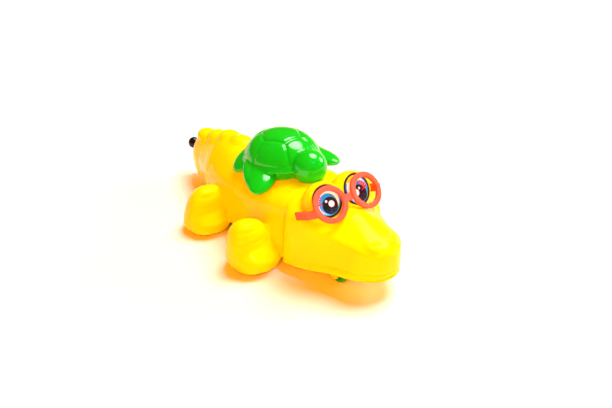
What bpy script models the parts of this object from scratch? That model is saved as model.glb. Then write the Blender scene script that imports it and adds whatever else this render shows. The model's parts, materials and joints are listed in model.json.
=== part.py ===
"""Toy crocodile with a turtle on its back, spectacles, four wheels and a pull-string spring motor.

One frame for everything: +X is forward (the snout), +Y is the crocodile's left, +Z is up.
Sizes below are in millimetres and the finished meshes are in metres. The wheels stand on z = 0.
The last lines of the script move the whole toy along X so that its bounding box is centred on the origin.
"""

import math
from collections import namedtuple

import bmesh
import bpy
from mathutils import Matrix, Vector

MM = 0.001
FLAT = math.radians(2.4)
SMOOTH = math.radians(38.0)

# Fits and walls
GAP = 0.3              # between pieces that touch, screw or turn on each other
WALL = 1.6             # yellow shell
PLATE = 1.6            # base plate
EDGE_GAP = 0.6         # base plate inside the shell

# Crocodile, overall
TAIL_END_X = -72.6
SNOUT_TIP_X = 72.4
TRUNK_HALF_WIDTH = 22.5
CHEEK_HALF_WIDTH = 23.0
SNOUT_HALF_WIDTH = 15.0
TAIL_HALF_WIDTH = 11.0
BACK_HEIGHT = 34.8
HEAD_HEIGHT = 37.4
RIM_HEIGHT = 5.0
CHIN_HEIGHT = 10.0
CHEEK_X = 27.4
SNOUT_ROUND = 12.0
TAIL_ROUND = 8.5

# Rounding of the long edges, and the nose
TRUNK_SOFT = 5.0
SNOUT_SOFT = 3.2
NOSTRIL_BACK = 7.8      # nostril mounds, behind the tip of the snout
NOSTRIL_APART = 4.5
NOSTRIL_SUNK = 2.1

# Lip line round the jaw
LIP_HEIGHT = 3.8
LIP_DEPTH = 0.6
LIP_START_X = 34.0

# Tail crest and tail folds
CREST_FIRST_X = -62.6
CREST_PITCH = 9.6
CREST_COUNT = 4
CREST_LENGTH = 11.4
CREST_HALF_WIDTH = 4.6
CREST_RISE = 2.1
FOLD_DEPTH = 0.5

# Legs
FRONT_LEG_X = 14.5
REAR_LEG_X = -24.6
FRONT_LEG_OUT = 7.9
REAR_LEG_OUT = 5.9
FRONT_LEG_LENGTH = 12.0
REAR_LEG_LENGTH = 11.2
FRONT_LEG_WIDTH = 10.8
REAR_LEG_WIDTH = 10.4
LEG_INWARD = 1.35
FRONT_TOE_REACH = 1.0   # front half of the foot, as a share of the leg's length
REAR_TOE_REACH = 0.95
LEG_DOME_FRONT = 0.54   # front half of the dome over the foot
FRONT_LEG_LEAN = -2.5   # how far the dome's top leans towards the flank
REAR_LEG_LEAN = 1.8
FRONT_LEG_TOP = 24.0
REAR_LEG_TOP = 21.4
FOOT_BOTTOM = 1.6
TOE_DEPTH = 0.55

# Eyes, stickers and spectacles
EYE_X = 40.0
EYE_HALF_SPACING = 8.3
EYE_BELOW_HEAD = 0.5
EYE_TILT = 33.0
EYE_TURN = 6.0
EYE_RADIUS = 9.1
STICKER_RADIUS = 7.2
STICKER_THICK = 0.4
RING_TILT = 38.0
RING_RADIUS = 8.2
RING_HOLE = 5.9
RING_DEPTH = 2.2
RING_FORWARD = 3.95
RING_OUTWARD = 1.5
RING_RAISE = 0.75
ARM_SLOPE = 25.0
ARM_BELOW = 1.9
ARM_CLEAR = 1.7         # arm to the eye bulge
ARM_LENGTH = 12.0
ARM_HEIGHT = 3.6
ARM_THICK = 1.4
PEG_RADIUS = 1.2
PEG_LENGTH = 4.2

# Turtle
TURTLE_X = -2.0
TURTLE_LENGTH = 18.6
TURTLE_HALF_WIDTH = 16.4
TURTLE_RISE = 13.0
TURTLE_BRIM = 2.6
TURTLE_TILT = 6.0
TURTLE_WALL = 1.8
TURTLE_HEAD_RADIUS = 7.8
TURTLE_HEAD_X = 17.8
TURTLE_HEAD_RAISE = 6.4
TURTLE_POST_REAR = -12.0
TURTLE_POST_FRONT = 10.0

# Gear train, all gears on axes along Y
MODULE = 0.6
BACKLASH = 0.16
REEL_TEETH = 32
COMPOUND_PINION_TEETH = 10
COMPOUND_WHEEL_TEETH = 20
CLUTCH_TEETH = 10
AXLE_TEETH = 12
TOOTH_TIP = 0.92       # tooth height over the pitch circle, in modules
CLUTCH_CLEAR = 0.6     # between the teeth of the clutch pinion and the axle gear, thrown out of mesh
REEL_WEB_INSIDE = 1.0  # reel's web inside its pitch circle
COMPOUND_HUB = 2.0
AXLE_X = -16.5
CLUTCH_ANGLE = 60.0
COMPOUND_ANGLE = 20.0
REEL_ANGLE = -10.0
SHAFT = 1.0
BORE = SHAFT + GAP

# Gearbox
BOX_INNER = 10.4
BOX_PLATE = 1.6
DRUM_RADIUS = 6.7
DRUM_HALF_WIDTH = 4.5
FLANGE_RADIUS = 9.6
CUP_WALL = 1.2
GEAR_WIDTH = 2.6

# Cord and knob
CORD_RADIUS = 0.5
CORD_PITCH = 1.5
CORD_TURNS = 5
KNOB_RADIUS = 2.85
KNOB_Z = 15.2

# Wheels
WHEEL_RADIUS = 9.5
WHEEL_WIDTH = 4.4
WHEEL_Y = 15.2
TYRE = 1.3
FRONT_X = 47.5
FRONT_RADIUS = 6.0
FRONT_WIDTH = 4.6
FRONT_Y = 6.8
SLOT_GAP = 0.8

# Screws
SCREW_RADIUS = 0.95
SCREW_HEAD = 2.1
SCREW_HEAD_HEIGHT = 1.4
BOSS_RADIUS = 2.9
TAIL_BOSS = (-46.0, 7.0)
BOSS_CLEAR = 0.8       # gearbox plates to the screw bosses in the head
HEAD_BOSS = (31.0, BOX_INNER + BOX_PLATE + BOSS_CLEAR + BOSS_RADIUS)

# Colours
YELLOW = (1.0, 0.66, 0.005)
GREEN = (0.03, 0.72, 0.02)
CORAL = (1.0, 0.16, 0.06)
BLACK = (0.012, 0.012, 0.014)
WHITE = (0.85, 0.85, 0.85)
IVORY = (0.8, 0.77, 0.68)
STEEL = (0.55, 0.56, 0.58)
RED = (0.7, 0.03, 0.02)
CORD_WHITE = (0.82, 0.8, 0.74)


# Shared small tools

def clear_scene():
    for item in list(bpy.data.objects):
        bpy.data.objects.remove(item, do_unlink=True)


def material(name, colour, rough=0.3, metal=0.0):
    made = bpy.data.materials.get(name)
    if made is None:
        made = bpy.data.materials.new(name)
        made.use_nodes = True
        shader = made.node_tree.nodes["Principled BSDF"]
        shader.inputs["Base Color"].default_value = (*colour, 1.0)
        shader.inputs["Roughness"].default_value = rough
        shader.inputs["Metallic"].default_value = metal
    return made


def finish(name, bm, look=None):
    """Turn a bmesh in millimetres into a named object in metres."""
    bmesh.ops.remove_doubles(bm, verts=bm.verts, dist=1e-4)
    bmesh.ops.recalc_face_normals(bm, faces=bm.faces)
    bmesh.ops.triangulate(bm, faces=bm.faces)
    bmesh.ops.scale(bm, vec=(MM, MM, MM), verts=bm.verts)
    mesh = bpy.data.meshes.new(name)
    bm.to_mesh(mesh)
    bm.free()
    made = bpy.data.objects.new(name, mesh)
    bpy.context.scene.collection.objects.link(made)
    if look is not None:
        mesh.materials.append(look)
    return made


def combine(target, tool, operation, keep=False):
    """Boolean on the spot. The tool goes afterwards unless it is kept."""
    step = target.modifiers.new(operation.lower(), "BOOLEAN")
    step.operation = operation
    step.solver = "EXACT"
    step.object = tool
    bpy.context.view_layer.update()
    graph = bpy.context.evaluated_depsgraph_get()
    fresh = bpy.data.meshes.new_from_object(target.evaluated_get(graph))
    target.modifiers.clear()
    old = target.data
    target.data = fresh
    bpy.data.meshes.remove(old)
    fresh.name = target.name
    if not keep:
        bpy.data.objects.remove(tool, do_unlink=True)
    bm = bmesh.new()
    bm.from_mesh(fresh)
    bmesh.ops.triangulate(bm, faces=bm.faces)
    bmesh.ops.remove_doubles(bm, verts=bm.verts, dist=1e-7)
    bmesh.ops.dissolve_degenerate(bm, dist=1e-7, edges=bm.edges)
    bm.to_mesh(fresh)
    bm.free()
    return target


def paint(target, look):
    """Last step of a piece: rejoin the flat faces that the cuts split, and give it its material."""
    bm = bmesh.new()
    bm.from_mesh(target.data)
    bmesh.ops.dissolve_limit(bm, angle_limit=FLAT, verts=bm.verts, edges=bm.edges)
    bmesh.ops.triangulate(bm, faces=bm.faces)
    bm.to_mesh(target.data)
    bm.free()
    target.data.materials.clear()
    target.data.materials.append(look)
    for face in target.data.polygons:
        face.material_index = 0
    target.data.shade_smooth()
    target.data.set_sharp_from_angle(angle=SMOOTH)


def loft(rings, cap_start=True, cap_end=True):
    """Skin a row of rings with the same number of points."""
    bm = bmesh.new()
    rows = [[bm.verts.new(p) for p in ring] for ring in rings]
    count = len(rows[0])
    for a, b in zip(rows, rows[1:]):
        for i in range(count):
            j = (i + 1) % count
            bm.faces.new((a[i], a[j], b[j], b[i]))
    if cap_start:
        bm.faces.new(list(reversed(rows[0])))
    if cap_end:
        bm.faces.new(rows[-1])
    return bm


def lathe(profile, segments, place, closed=False):
    """Turn (radius, height) points about the local Z of the matrix place."""
    bm = bmesh.new()
    rows = []
    for radius, height in profile:
        if radius < 1e-6:
            rows.append([bm.verts.new(place @ Vector((0, 0, height)))])
            continue
        ring = []
        for k in range(segments):
            angle = 2 * math.pi * k / segments
            point = Vector((radius * math.cos(angle), radius * math.sin(angle), height))
            ring.append(bm.verts.new(place @ point))
        rows.append(ring)
    pairs = list(zip(rows, rows[1:]))
    if closed:
        pairs.append((rows[-1], rows[0]))
    for a, b in pairs:
        for i in range(segments):
            j = (i + 1) % segments
            if len(a) == 1 and len(b) == 1:
                continue
            if len(a) == 1:
                bm.faces.new((a[0], b[j], b[i]))
            elif len(b) == 1:
                bm.faces.new((a[i], a[j], b[0]))
            else:
                bm.faces.new((a[i], a[j], b[j], b[i]))
    return bm


def prism(outline, low, high, place):
    """Push a flat outline from low to high along the local Z of place."""
    rings = [[place @ Vector((u, v, h)) for u, v in outline] for h in (low, high)]
    return loft(rings)


def along(axis, origin):
    """Matrix whose local Z runs along axis from origin."""
    turn = Vector(axis).to_track_quat("Z", "Y").to_matrix().to_4x4()
    return Matrix.Translation(origin) @ turn


def box(low, high):
    bm = bmesh.new()
    bmesh.ops.create_cube(bm, size=1.0)
    for v in bm.verts:
        for k in range(3):
            v.co[k] = low[k] if v.co[k] < 0 else high[k]
    return bm


def cylinder(axis, origin, radius, low, high, segments=20):
    profile = [(0, low), (radius, low), (radius, high), (0, high)]
    return lathe(profile, segments, along(axis, origin))


def ellipsoid(centre, radii, rings=8, segments=16, turn=None):
    bm = bmesh.new()
    bmesh.ops.create_uvsphere(bm, u_segments=segments, v_segments=rings, radius=1.0)
    shape = Matrix.Diagonal((*radii, 1.0))
    if turn is not None:
        shape = turn.to_4x4() @ shape
    bmesh.ops.transform(bm, matrix=Matrix.Translation(centre) @ shape, verts=bm.verts)
    return bm


def smooth_between(xs, ys, x):
    """Monotone cubic through the given points."""
    if x <= xs[0]:
        return ys[0]
    if x >= xs[-1]:
        return ys[-1]
    slopes = [(ys[i + 1] - ys[i]) / (xs[i + 1] - xs[i]) for i in range(len(xs) - 1)]
    tangents = [slopes[0]]
    for a, b in zip(slopes, slopes[1:]):
        tangents.append(0.0 if a * b <= 0 else 2 * a * b / (a + b))
    tangents.append(slopes[-1])
    i = max(k for k in range(len(xs) - 1) if xs[k] <= x)
    width = xs[i + 1] - xs[i]
    t = (x - xs[i]) / width
    return (
        ys[i] * (1 + 2 * t) * (1 - t) ** 2
        + tangents[i] * width * t * (1 - t) ** 2
        + ys[i + 1] * t * t * (3 - 2 * t)
        + tangents[i + 1] * width * t * t * (t - 1)
    )


def round_corner(before, corner, after, reach, steps):
    """Points of a soft corner, as a quadratic curve that starts and ends at reach from it."""
    a = corner + (before - corner).normalized() * min(reach, (before - corner).length * 0.48)
    b = corner + (after - corner).normalized() * min(reach, (after - corner).length * 0.48)
    points = []
    for k in range(steps + 1):
        t = k / steps
        points.append(a * (1 - t) ** 2 + corner * 2 * t * (1 - t) + b * t * t)
    return points


# Crocodile body, lofted over stations from the tail to the snout
# Each station: where the rim, shoulder edge and crown edge of the half section lie, and the top line.

Station = namedtuple("Station", "x rim shoulder shoulder_z crown crown_z top")

TRUNK, CHEEK, SNOUT, TAIL = TRUNK_HALF_WIDTH, CHEEK_HALF_WIDTH, SNOUT_HALF_WIDTH, TAIL_HALF_WIDTH
BACK, HEAD = BACK_HEIGHT, HEAD_HEIGHT
STATIONS = (
    Station(TAIL_END_X, 4.6, 5.6, 14.0, 2.6, 20.4, 21.2),
    Station(TAIL_END_X + 7.0, 6.0, 8.0, 16.0, 3.4, 24.0, 24.8),
    Station(TAIL_END_X + 18.0, TAIL - 1.8, TAIL, 18.5, 4.8, 27.4, 28.4),
    Station(-40.0, TRUNK - 6.5, TRUNK - 5.5, 21.0, 7.4, BACK - 3.8, BACK - 2.6),
    Station(-20.0, TRUNK - 1.5, TRUNK - 1.8, 24.0, 11.8, BACK - 1.8, BACK - 0.5),
    Station(0.0, TRUNK, TRUNK - 1.3, 25.8, 13.2, BACK - 1.4, BACK),
    Station(CHEEK_X - 2.6, TRUNK - 2.0, TRUNK - 2.4, 30.4, 12.6, HEAD - 1.6, HEAD - 0.7),
    Station(CHEEK_X, CHEEK, CHEEK - 1.5, 29.8, 12.6, HEAD - 1.2, HEAD - 0.3),
    Station(38.0, CHEEK - 1.5, CHEEK - 4.0, 28.6, 11.0, HEAD - 2.0, HEAD - 0.6),
    Station(44.0, CHEEK - 3.1, CHEEK - 5.2, 26.3, 4.8, HEAD - 4.8, HEAD - 3.9),
    Station(50.0, SNOUT + 2.9, SNOUT + 0.9, 25.7, 4.4, HEAD - 5.4, HEAD - 4.5),
    Station(SNOUT_TIP_X - 13.0, SNOUT, SNOUT - 2.2, 24.8, 5.0, 28.4, 29.1),
    Station(SNOUT_TIP_X - 7.0, SNOUT - 2.4, SNOUT - 3.2, 24.6, 5.6, 26.9, 27.4),
    Station(SNOUT_TIP_X, SNOUT - 4.4, SNOUT - 4.0, 23.8, 5.4, 26.0, 26.4),
)
STATION_X = [s.x for s in STATIONS]


def station_value(field, x):
    return smooth_between(STATION_X, [getattr(s, field) for s in STATIONS], x)


def rim_z(x):
    """Height of the lower rim, which climbs along the jaw."""
    return smooth_between(
        [CHEEK_X, CHEEK_X + 15.0, SNOUT_TIP_X - 16.0, SNOUT_TIP_X],
        [RIM_HEIGHT, RIM_HEIGHT + 2.6, CHIN_HEIGHT, CHIN_HEIGHT + 0.3],
        x,
    )


def end_factor(x):
    """1 along the body, falling to a blunt round end at the snout and the tail."""
    front = max(0.0, (x - (SNOUT_TIP_X - SNOUT_ROUND)) / SNOUT_ROUND)
    rear = max(0.0, (TAIL_END_X + TAIL_ROUND - x) / TAIL_ROUND)
    t = min(0.985, max(front, rear))
    return (1 - t ** 2.2) ** (1 / 2.2)


def fold(x):
    """Shallow folds across the tail, one to each crest scute."""
    start = CREST_FIRST_X - CREST_PITCH / 2
    along_tail = (x - start) / CREST_PITCH
    if along_tail < 0 or along_tail > CREST_COUNT - 0.5:
        return 0.0
    phase = along_tail % 1.0
    return FOLD_DEPTH * (math.sin(math.pi * phase) ** 0.6 - 1.0)


def half_section(x, inset=0.0, lip=False):
    """Right half of the section at x from the rim up to the top line, as (y, z) points."""
    shrink = end_factor(x)
    low = rim_z(x)
    middle = 15.0 if x < 0 else 19.0
    wave = fold(x) if inset == 0.0 else 0.0
    widths = [station_value(n, x) + wave for n in ("rim", "shoulder", "crown")]
    heights = [station_value(n, x) for n in ("shoulder_z", "crown_z", "top")]
    widths = [max(0.5, w * shrink - inset) for w in widths]
    heights = [middle + (h - middle) * (0.35 + 0.65 * shrink) - inset for h in heights]
    rim = Vector((widths[0], low))
    shoulder = Vector((widths[1], heights[0]))
    crown = Vector((widths[2], heights[1]))
    top = Vector((0.0, heights[2]))
    soft = smooth_between([CHEEK_X, CHEEK_X + 20.0], [TRUNK_SOFT, SNOUT_SOFT], x) * (0.4 + 0.6 * shrink)
    points = [rim]
    if lip:
        depth = LIP_DEPTH * shrink * min(1.0, max(0.0, (x - LIP_START_X) / 10.0))
        side = (shoulder - rim).normalized()
        for over, share in ((-0.5, -0.3), (0.0, 1.0), (0.6, 0.1)):
            points.append(rim + side * (LIP_HEIGHT + over) - Vector((share * depth, 0)))
    points.append(rim.lerp(shoulder, 0.55))
    points += round_corner(rim, shoulder, crown, soft, 1 if inset > 0 else 3)
    points += round_corner(shoulder, crown, top, soft, 1 if inset > 0 else 2)
    points.append(top)
    return points


def body_stations(coarse):
    """X of every loft ring, close together at the round ends, the cheek step and the folds."""
    step = 9.0 if coarse else CREST_PITCH / 3
    xs = []
    count = 4 if coarse else 6
    for k in range(count):
        xs.append(TAIL_END_X + TAIL_ROUND * (1 - math.cos(math.pi / 2 * (0.11 + 0.89 * k / count))))
    x = TAIL_END_X + TAIL_ROUND
    while x < -16.0:
        xs.append(x)
        x += step
    for x in (-14.0, -7.0, 0.0, 7.0, 14.0, 20.0, CHEEK_X - 2.6, CHEEK_X - 1.2, CHEEK_X, CHEEK_X + 1.6):
        xs.append(x)
    x = CHEEK_X + 5.0
    while x < SNOUT_TIP_X - SNOUT_ROUND:
        xs.append(x)
        x += 7.5 if coarse else 4.6
    count = 4 if coarse else 7
    for k in range(count + 1):
        xs.append(SNOUT_TIP_X - SNOUT_ROUND * (1 - math.sin(math.pi / 2 * 0.92 * k / count)))
    return sorted(set(round(v, 4) for v in xs))


def body_loft(name, inset, drop, coarse, lip):
    """Closed body solid. A positive inset shrinks it, and drop carries its floor below the rim."""
    rings = []
    for x in body_stations(coarse):
        if x < TAIL_END_X + inset or x > SNOUT_TIP_X - inset:
            continue
        half = half_section(x, inset, lip)
        if drop:
            half = [Vector((half[0].x, half[0].y - drop))] + half
        ring = [(x, -p.x, p.y) for p in half]
        ring += [(x, p.x, p.y) for p in reversed(half[:-1])]
        rings.append(ring)
    return finish(name, loft(rings))


def surface_z(x, y, inset=0.0):
    """Height of the body surface over the point (x, y)."""
    half = half_section(x, inset)
    for a, b in zip(half[::-1], half[-2::-1]):
        if a.x <= abs(y) <= b.x and b.x > a.x:
            return a.y + (b.y - a.y) * (abs(y) - a.x) / (b.x - a.x)
    return half[0].y


Leg = namedtuple("Leg", "x y side top length width toe lean")


def legs():
    for side in (-1, 1):
        y = side * (TRUNK_HALF_WIDTH + FRONT_LEG_OUT)
        front = (FRONT_LEG_TOP, FRONT_LEG_LENGTH, FRONT_LEG_WIDTH, FRONT_TOE_REACH, FRONT_LEG_LEAN)
        yield Leg(FRONT_LEG_X, y, side, *front)
        y = side * (TRUNK_HALF_WIDTH + REAR_LEG_OUT)
        rear = (REAR_LEG_TOP, REAR_LEG_LENGTH, REAR_LEG_WIDTH, REAR_TOE_REACH, REAR_LEG_LEAN)
        yield Leg(REAR_LEG_X, y, side, *rear)


def leg_rings(leg, inset):
    """Dome over a longer foot with three toes. The dome falls back at the front; both run into the flank."""
    height = leg.top - FOOT_BOTTOM - inset
    profile = [
        (0.0, 0.88), (0.08, 0.98), (0.30, 0.99), (0.40, 0.95), (0.55, 0.89),
        (0.70, 0.79), (0.84, 0.62), (0.95, 0.36),
    ]
    if inset:
        profile = [(0.0, 0.97), (0.30, 0.95), (0.42, 0.90), (0.6, 0.80), (0.84, 0.54), (0.94, 0.30)]
    rings = []
    count = 10 if inset else 18
    for share, reach in profile:
        ring = []
        dome = min(1.0, max(0.0, (share - 0.30) / 0.15))
        front = leg.toe + (LEG_DOME_FRONT - leg.toe) * dome
        middle = leg.y - leg.side * leg.lean * share
        z = FOOT_BOTTOM + share * height - (6.0 if inset and share == 0.0 else 0.0)
        for k in range(count):
            angle = 2 * math.pi * k / count
            toe_angle = angle - leg.side * math.radians(48.0)
            toes = 0.0
            if not inset and share <= 0.34 and math.cos(toe_angle) > -0.1:
                toes = TOE_DEPTH * (math.cos(5.0 * toe_angle) - 0.6)
            ahead = math.cos(angle)
            forward = front if ahead > 0 else 1.0
            narrow = dome * min(1.0, max(0.0, (ahead + 0.3) / 0.9))
            inward = 1.0
            if math.sin(angle) * leg.side < 0:
                inward = LEG_INWARD + (1.0 - LEG_INWARD) * narrow
            length = (leg.length * forward - inset) * reach + toes
            width = (leg.width * inward - inset) * reach + toes
            ring.append((leg.x + length * ahead, middle + width * math.sin(angle), z))
        rings.append(ring)
    return rings


def eye_look(side, tilt):
    """Direction that one eye looks in, raised by tilt and turned a little outwards."""
    tilt = math.radians(tilt)
    turn = math.radians(EYE_TURN) * side
    return Vector((math.cos(tilt) * math.cos(turn), math.sin(turn), math.sin(tilt) * math.cos(turn)))


def eye_matrix(side):
    """Frame of one eye: local Z looks out of the eye, its origin is the middle of the sticker."""
    centre = Vector((EYE_X, side * EYE_HALF_SPACING, HEAD_HEIGHT - EYE_BELOW_HEAD))
    return along(eye_look(side, EYE_TILT), centre)


def eye_bulge(side, inset):
    r = EYE_RADIUS - inset
    f = STICKER_RADIUS + 1.0
    front = -STICKER_THICK - GAP - inset if inset else 0.0
    profile = [(0.0, front), (f - inset, front)]
    profile += [(r - 0.5, -1.6 - inset), (r, -3.4 - inset), (r - 0.3, -6.5), (r - 1.8, -9.6)]
    profile += [(r - 4.6, -11.8 + inset), (0.0, -12.8 + inset)]
    return lathe(profile, 12 if inset else 20, eye_matrix(side))


def boss(name, x, y, low, outer):
    """Screw boss hung from the roof of the shell, trimmed to end inside its wall."""
    made = finish(name, cylinder((0, 0, 1), (x, y, 0), BOSS_RADIUS, low, 80.0, 16))
    return combine(made, outer, "INTERSECT", keep=True)


def boss_places():
    for x, y in (TAIL_BOSS, HEAD_BOSS):
        for side in (-1, 1):
            yield x, side * y


def base_top(x):
    return rim_z(x) + PLATE


def make_body_shell(look):
    outer = body_loft("body_shell", 0.0, 0.0, False, True)
    trimmer = body_loft("body_trimmer", WALL / 2, 6.0, True, False)
    for leg in legs():
        combine(outer, finish("leg", loft(leg_rings(leg, 0.0))), "UNION")
    for side in (-1, 1):
        combine(outer, finish("bulge", eye_bulge(side, 0.0)), "UNION")
    for side in (-1, 1):
        depth = STICKER_THICK + GAP
        centre = eye_matrix(side).translation
        seat = cylinder(eye_look(side, EYE_TILT), centre, STICKER_RADIUS + GAP, -depth, 14.0)
        combine(outer, finish("sticker_seat", seat), "DIFFERENCE")
    for k in range(CREST_COUNT):
        x = CREST_FIRST_X + k * CREST_PITCH
        centre = (x, 0, surface_z(x, 0) - 0.8)
        lump = ellipsoid(centre, (CREST_LENGTH / 2, CREST_HALF_WIDTH, CREST_RISE + 0.8), 6, 10)
        combine(outer, finish("scute", lump), "UNION")
    for side in (-1, 1):
        x, y = SNOUT_TIP_X - NOSTRIL_BACK, side * NOSTRIL_APART
        mound = ellipsoid((x, y, surface_z(x, y) - NOSTRIL_SUNK), (5.6, 4.4, 2.8), 6, 12)
        combine(outer, finish("mound", mound), "UNION")
        height = surface_z(x, y) - NOSTRIL_SUNK + 2.7
        dent = ellipsoid((x + 1.4, y + side * 0.4, height), (1.5, 1.0, 1.3), 5, 8)
        combine(outer, finish("nostril", dent), "DIFFERENCE")
    hollow = body_loft("hollow", WALL, 12.0, True, False)
    for leg in legs():
        combine(hollow, finish("leg_hollow", loft(leg_rings(leg, WALL))), "UNION")
    for side in (-1, 1):
        combine(hollow, finish("bulge_hollow", eye_bulge(side, WALL)), "UNION")
    combine(outer, hollow, "DIFFERENCE")
    reach = WHEEL_Y + WHEEL_WIDTH / 2 + GAP
    well = cylinder((0, 1, 0), (AXLE_X, 0, WHEEL_RADIUS), WHEEL_RADIUS + GAP, -reach, reach, 32)
    combine(outer, finish("wheel_well", well), "DIFFERENCE")
    for x, y in boss_places():
        combine(outer, boss("boss", x, y, base_top(x + BOSS_RADIUS) + GAP, trimmer), "UNION")
        hole = cylinder((0, 0, 1), (x, y, 0), SCREW_RADIUS + GAP, -1.0, base_top(x) + 10.0, 12)
        combine(outer, finish("boss_hole", hole), "DIFFERENCE")
    for x in (TURTLE_POST_REAR, TURTLE_POST_FRONT):
        hole = cylinder((0, 0, 1), (x, 0, 0), BOSS_RADIUS - 0.4 + GAP, 28.0, 60.0, 16)
        combine(outer, finish("post_hole", hole), "DIFFERENCE")
    hole = cylinder((1, 0, 0), (0, 0, KNOB_Z), CORD_RADIUS + GAP, TAIL_END_X - 5.0, TAIL_END_X + 14.0, 12)
    combine(outer, finish("cord_hole", hole), "DIFFERENCE")
    for side in (-1, 1):
        place = peg_place(side)
        hole = cylinder((0, -side, 0), place, PEG_RADIUS + GAP, -4.0, PEG_LENGTH + 1.2, 14)
        combine(outer, finish("peg_hole", hole), "DIFFERENCE")
    bpy.data.objects.remove(trimmer, do_unlink=True)
    paint(outer, look)
    return outer


# Base plate with wheel slots, axle lugs and screw holes

def make_base_plate(look):
    rings = []
    for x in body_stations(True):
        if x < TAIL_END_X + TAIL_ROUND / 3 or x > SNOUT_TIP_X - SNOUT_ROUND / 4:
            continue
        half = station_value("rim", x) * end_factor(x) - WALL - EDGE_GAP
        low = rim_z(x)
        rings.append([(x, -half, low), (x, half, low), (x, half, low + PLATE), (x, -half, low + PLATE)])
    plate = finish("base_plate", loft(rings))
    for side in (-1, 1):
        reach = WHEEL_RADIUS + SLOT_GAP
        half = WHEEL_WIDTH / 2 + SLOT_GAP
        y0, y1 = side * WHEEL_Y - half, side * WHEEL_Y + half
        slot = box((AXLE_X - reach, y0, 0), (AXLE_X + reach, y1, 12))
        combine(plate, finish("slot", slot), "DIFFERENCE")
        reach = FRONT_RADIUS + SLOT_GAP
        half = FRONT_WIDTH / 2 + SLOT_GAP
        y0, y1 = side * FRONT_Y - half, side * FRONT_Y + half
        slot = box((FRONT_X - reach, y0, 0), (FRONT_X + reach, y1, 20))
        combine(plate, finish("slot", slot), "DIFFERENCE")
        inner = FRONT_Y + FRONT_WIDTH / 2 + SLOT_GAP + 0.2
        y0, y1 = sorted((side * inner, side * (inner + 2.0)))
        lug = prism(lug_outline(), y0, y1, side_lug(FRONT_X))
        combine(plate, finish("lug", lug), "UNION")
        eye = cylinder((0, 1, 0), (FRONT_X, 0, FRONT_RADIUS), BORE, y0 - 1, y1 + 1, 16)
        combine(plate, finish("lug_eye", eye), "DIFFERENCE")
        mouth = box((FRONT_X - 0.8, y0 - 1, 0), (FRONT_X + 0.8, y1 + 1, FRONT_RADIUS))
        combine(plate, finish("lug_mouth", mouth), "DIFFERENCE")
    reach = MODULE * (AXLE_TEETH / 2 + 1) + SLOT_GAP
    y0, y1 = OUTER_PLANE - 0.8, OUTER_PLANE + GEAR_WIDTH + 0.2
    window = box((AXLE_X - reach, y0, 0), (AXLE_X + reach, y1, 12))
    combine(plate, finish("gear_window", window), "DIFFERENCE")
    for x, y in list(boss_places()) + list(tab_places()):
        hole = cylinder((0, 0, 1), (x, y, 0), SCREW_RADIUS + GAP, -1, 20, 10)
        combine(plate, finish("hole", hole), "DIFFERENCE")
        sink = cylinder((0, 0, 1), (x, y, 0), SCREW_HEAD + GAP, -1, rim_z(x) + 0.8, 12)
        combine(plate, finish("sink", sink), "DIFFERENCE")
    paint(plate, look)
    return plate


def side_lug(x):
    """Local X forward, local Y up, local Z along world Y."""
    basis = Matrix(((1, 0, 0), (0, 0, 1), (0, 1, 0))).to_4x4()
    return Matrix.Translation((x, 0, 0)) @ basis


def lug_outline():
    top = rim_z(FRONT_X) + PLATE * 0.6
    low = FRONT_RADIUS - 2.4
    return [(-4.5, top), (-2.6, low), (2.6, low), (4.5, top)]


# Gears

def gear_points(teeth, backlash=BACKLASH):
    """Involute gear outline about the origin, first tooth on local +X."""
    pitch = MODULE * teeth / 2
    base = pitch * math.cos(math.radians(20.0))
    tip = pitch + MODULE * TOOTH_TIP
    root = pitch - MODULE * 1.3
    start = max(base, root)
    flat = math.pi / (2 * teeth) - backlash / (2 * pitch)
    swing = math.tan(math.radians(20.0)) - math.radians(20.0)
    flank = []
    for k in range(2):
        r = start + (tip - start) * k
        a = math.acos(min(1.0, base / r))
        flank.append((r, flat + swing - (math.tan(a) - a)))
    points = []
    for n in range(teeth):
        centre = 2 * math.pi * n / teeth
        low = [(root, flank[0][1] + 0.02)] + flank
        for r, a in low:
            points.append((r * math.cos(centre - a), r * math.sin(centre - a)))
        for r, a in reversed(low):
            points.append((r * math.cos(centre + a), r * math.sin(centre + a)))
    return points


def turned(points, angle):
    c, s = math.cos(angle), math.sin(angle)
    return [(u * c - v * s, u * s + v * c) for u, v in points]


def meshed_turn(own_teeth, own, other_teeth, other, other_turn):
    """Turn that puts a gap of this gear on a tooth of the other along their line of centres."""
    line = math.atan2(other[1] - own[1], other[0] - own[0])
    back = line + math.pi
    pitch_other = 2 * math.pi / other_teeth
    pitch_own = 2 * math.pi / own_teeth
    off = (back - other_turn) / pitch_other
    off -= math.floor(off)
    return line + (off - 0.5) * pitch_own


def centres():
    """Axis positions (x, z) of the axle, clutch pinion, compound gear and reel."""
    axle = (AXLE_X, WHEEL_RADIUS)
    a = math.radians(CLUTCH_ANGLE)
    apart = MODULE * ((CLUTCH_TEETH + AXLE_TEETH) / 2 + 2 * TOOTH_TIP) + CLUTCH_CLEAR
    clutch = (axle[0] + apart * math.cos(a), axle[1] + apart * math.sin(a))
    a = math.radians(COMPOUND_ANGLE)
    apart = MODULE * (CLUTCH_TEETH + COMPOUND_WHEEL_TEETH) / 2
    compound = (clutch[0] + apart * math.cos(a), clutch[1] + apart * math.sin(a))
    a = math.radians(REEL_ANGLE)
    apart = MODULE * (COMPOUND_PINION_TEETH + REEL_TEETH) / 2
    reel = (compound[0] + apart * math.cos(a), compound[1] + apart * math.sin(a))
    return axle, clutch, compound, reel


# Gears lie in two planes: the reel's near the middle, the other against the left plate.
OUTER_PLANE = BOX_INNER - GAP - GEAR_WIDTH
INNER_PLANE = OUTER_PLANE - 0.6 - GEAR_WIDTH


def gear_frame(at):
    """Local X forward, local Y up, local Z along world Y (to the left)."""
    basis = Matrix(((1, 0, 0), (0, 0, 1), (0, 1, 0))).to_4x4()
    return Matrix.Translation((at[0], 0, at[1])) @ basis


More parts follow.
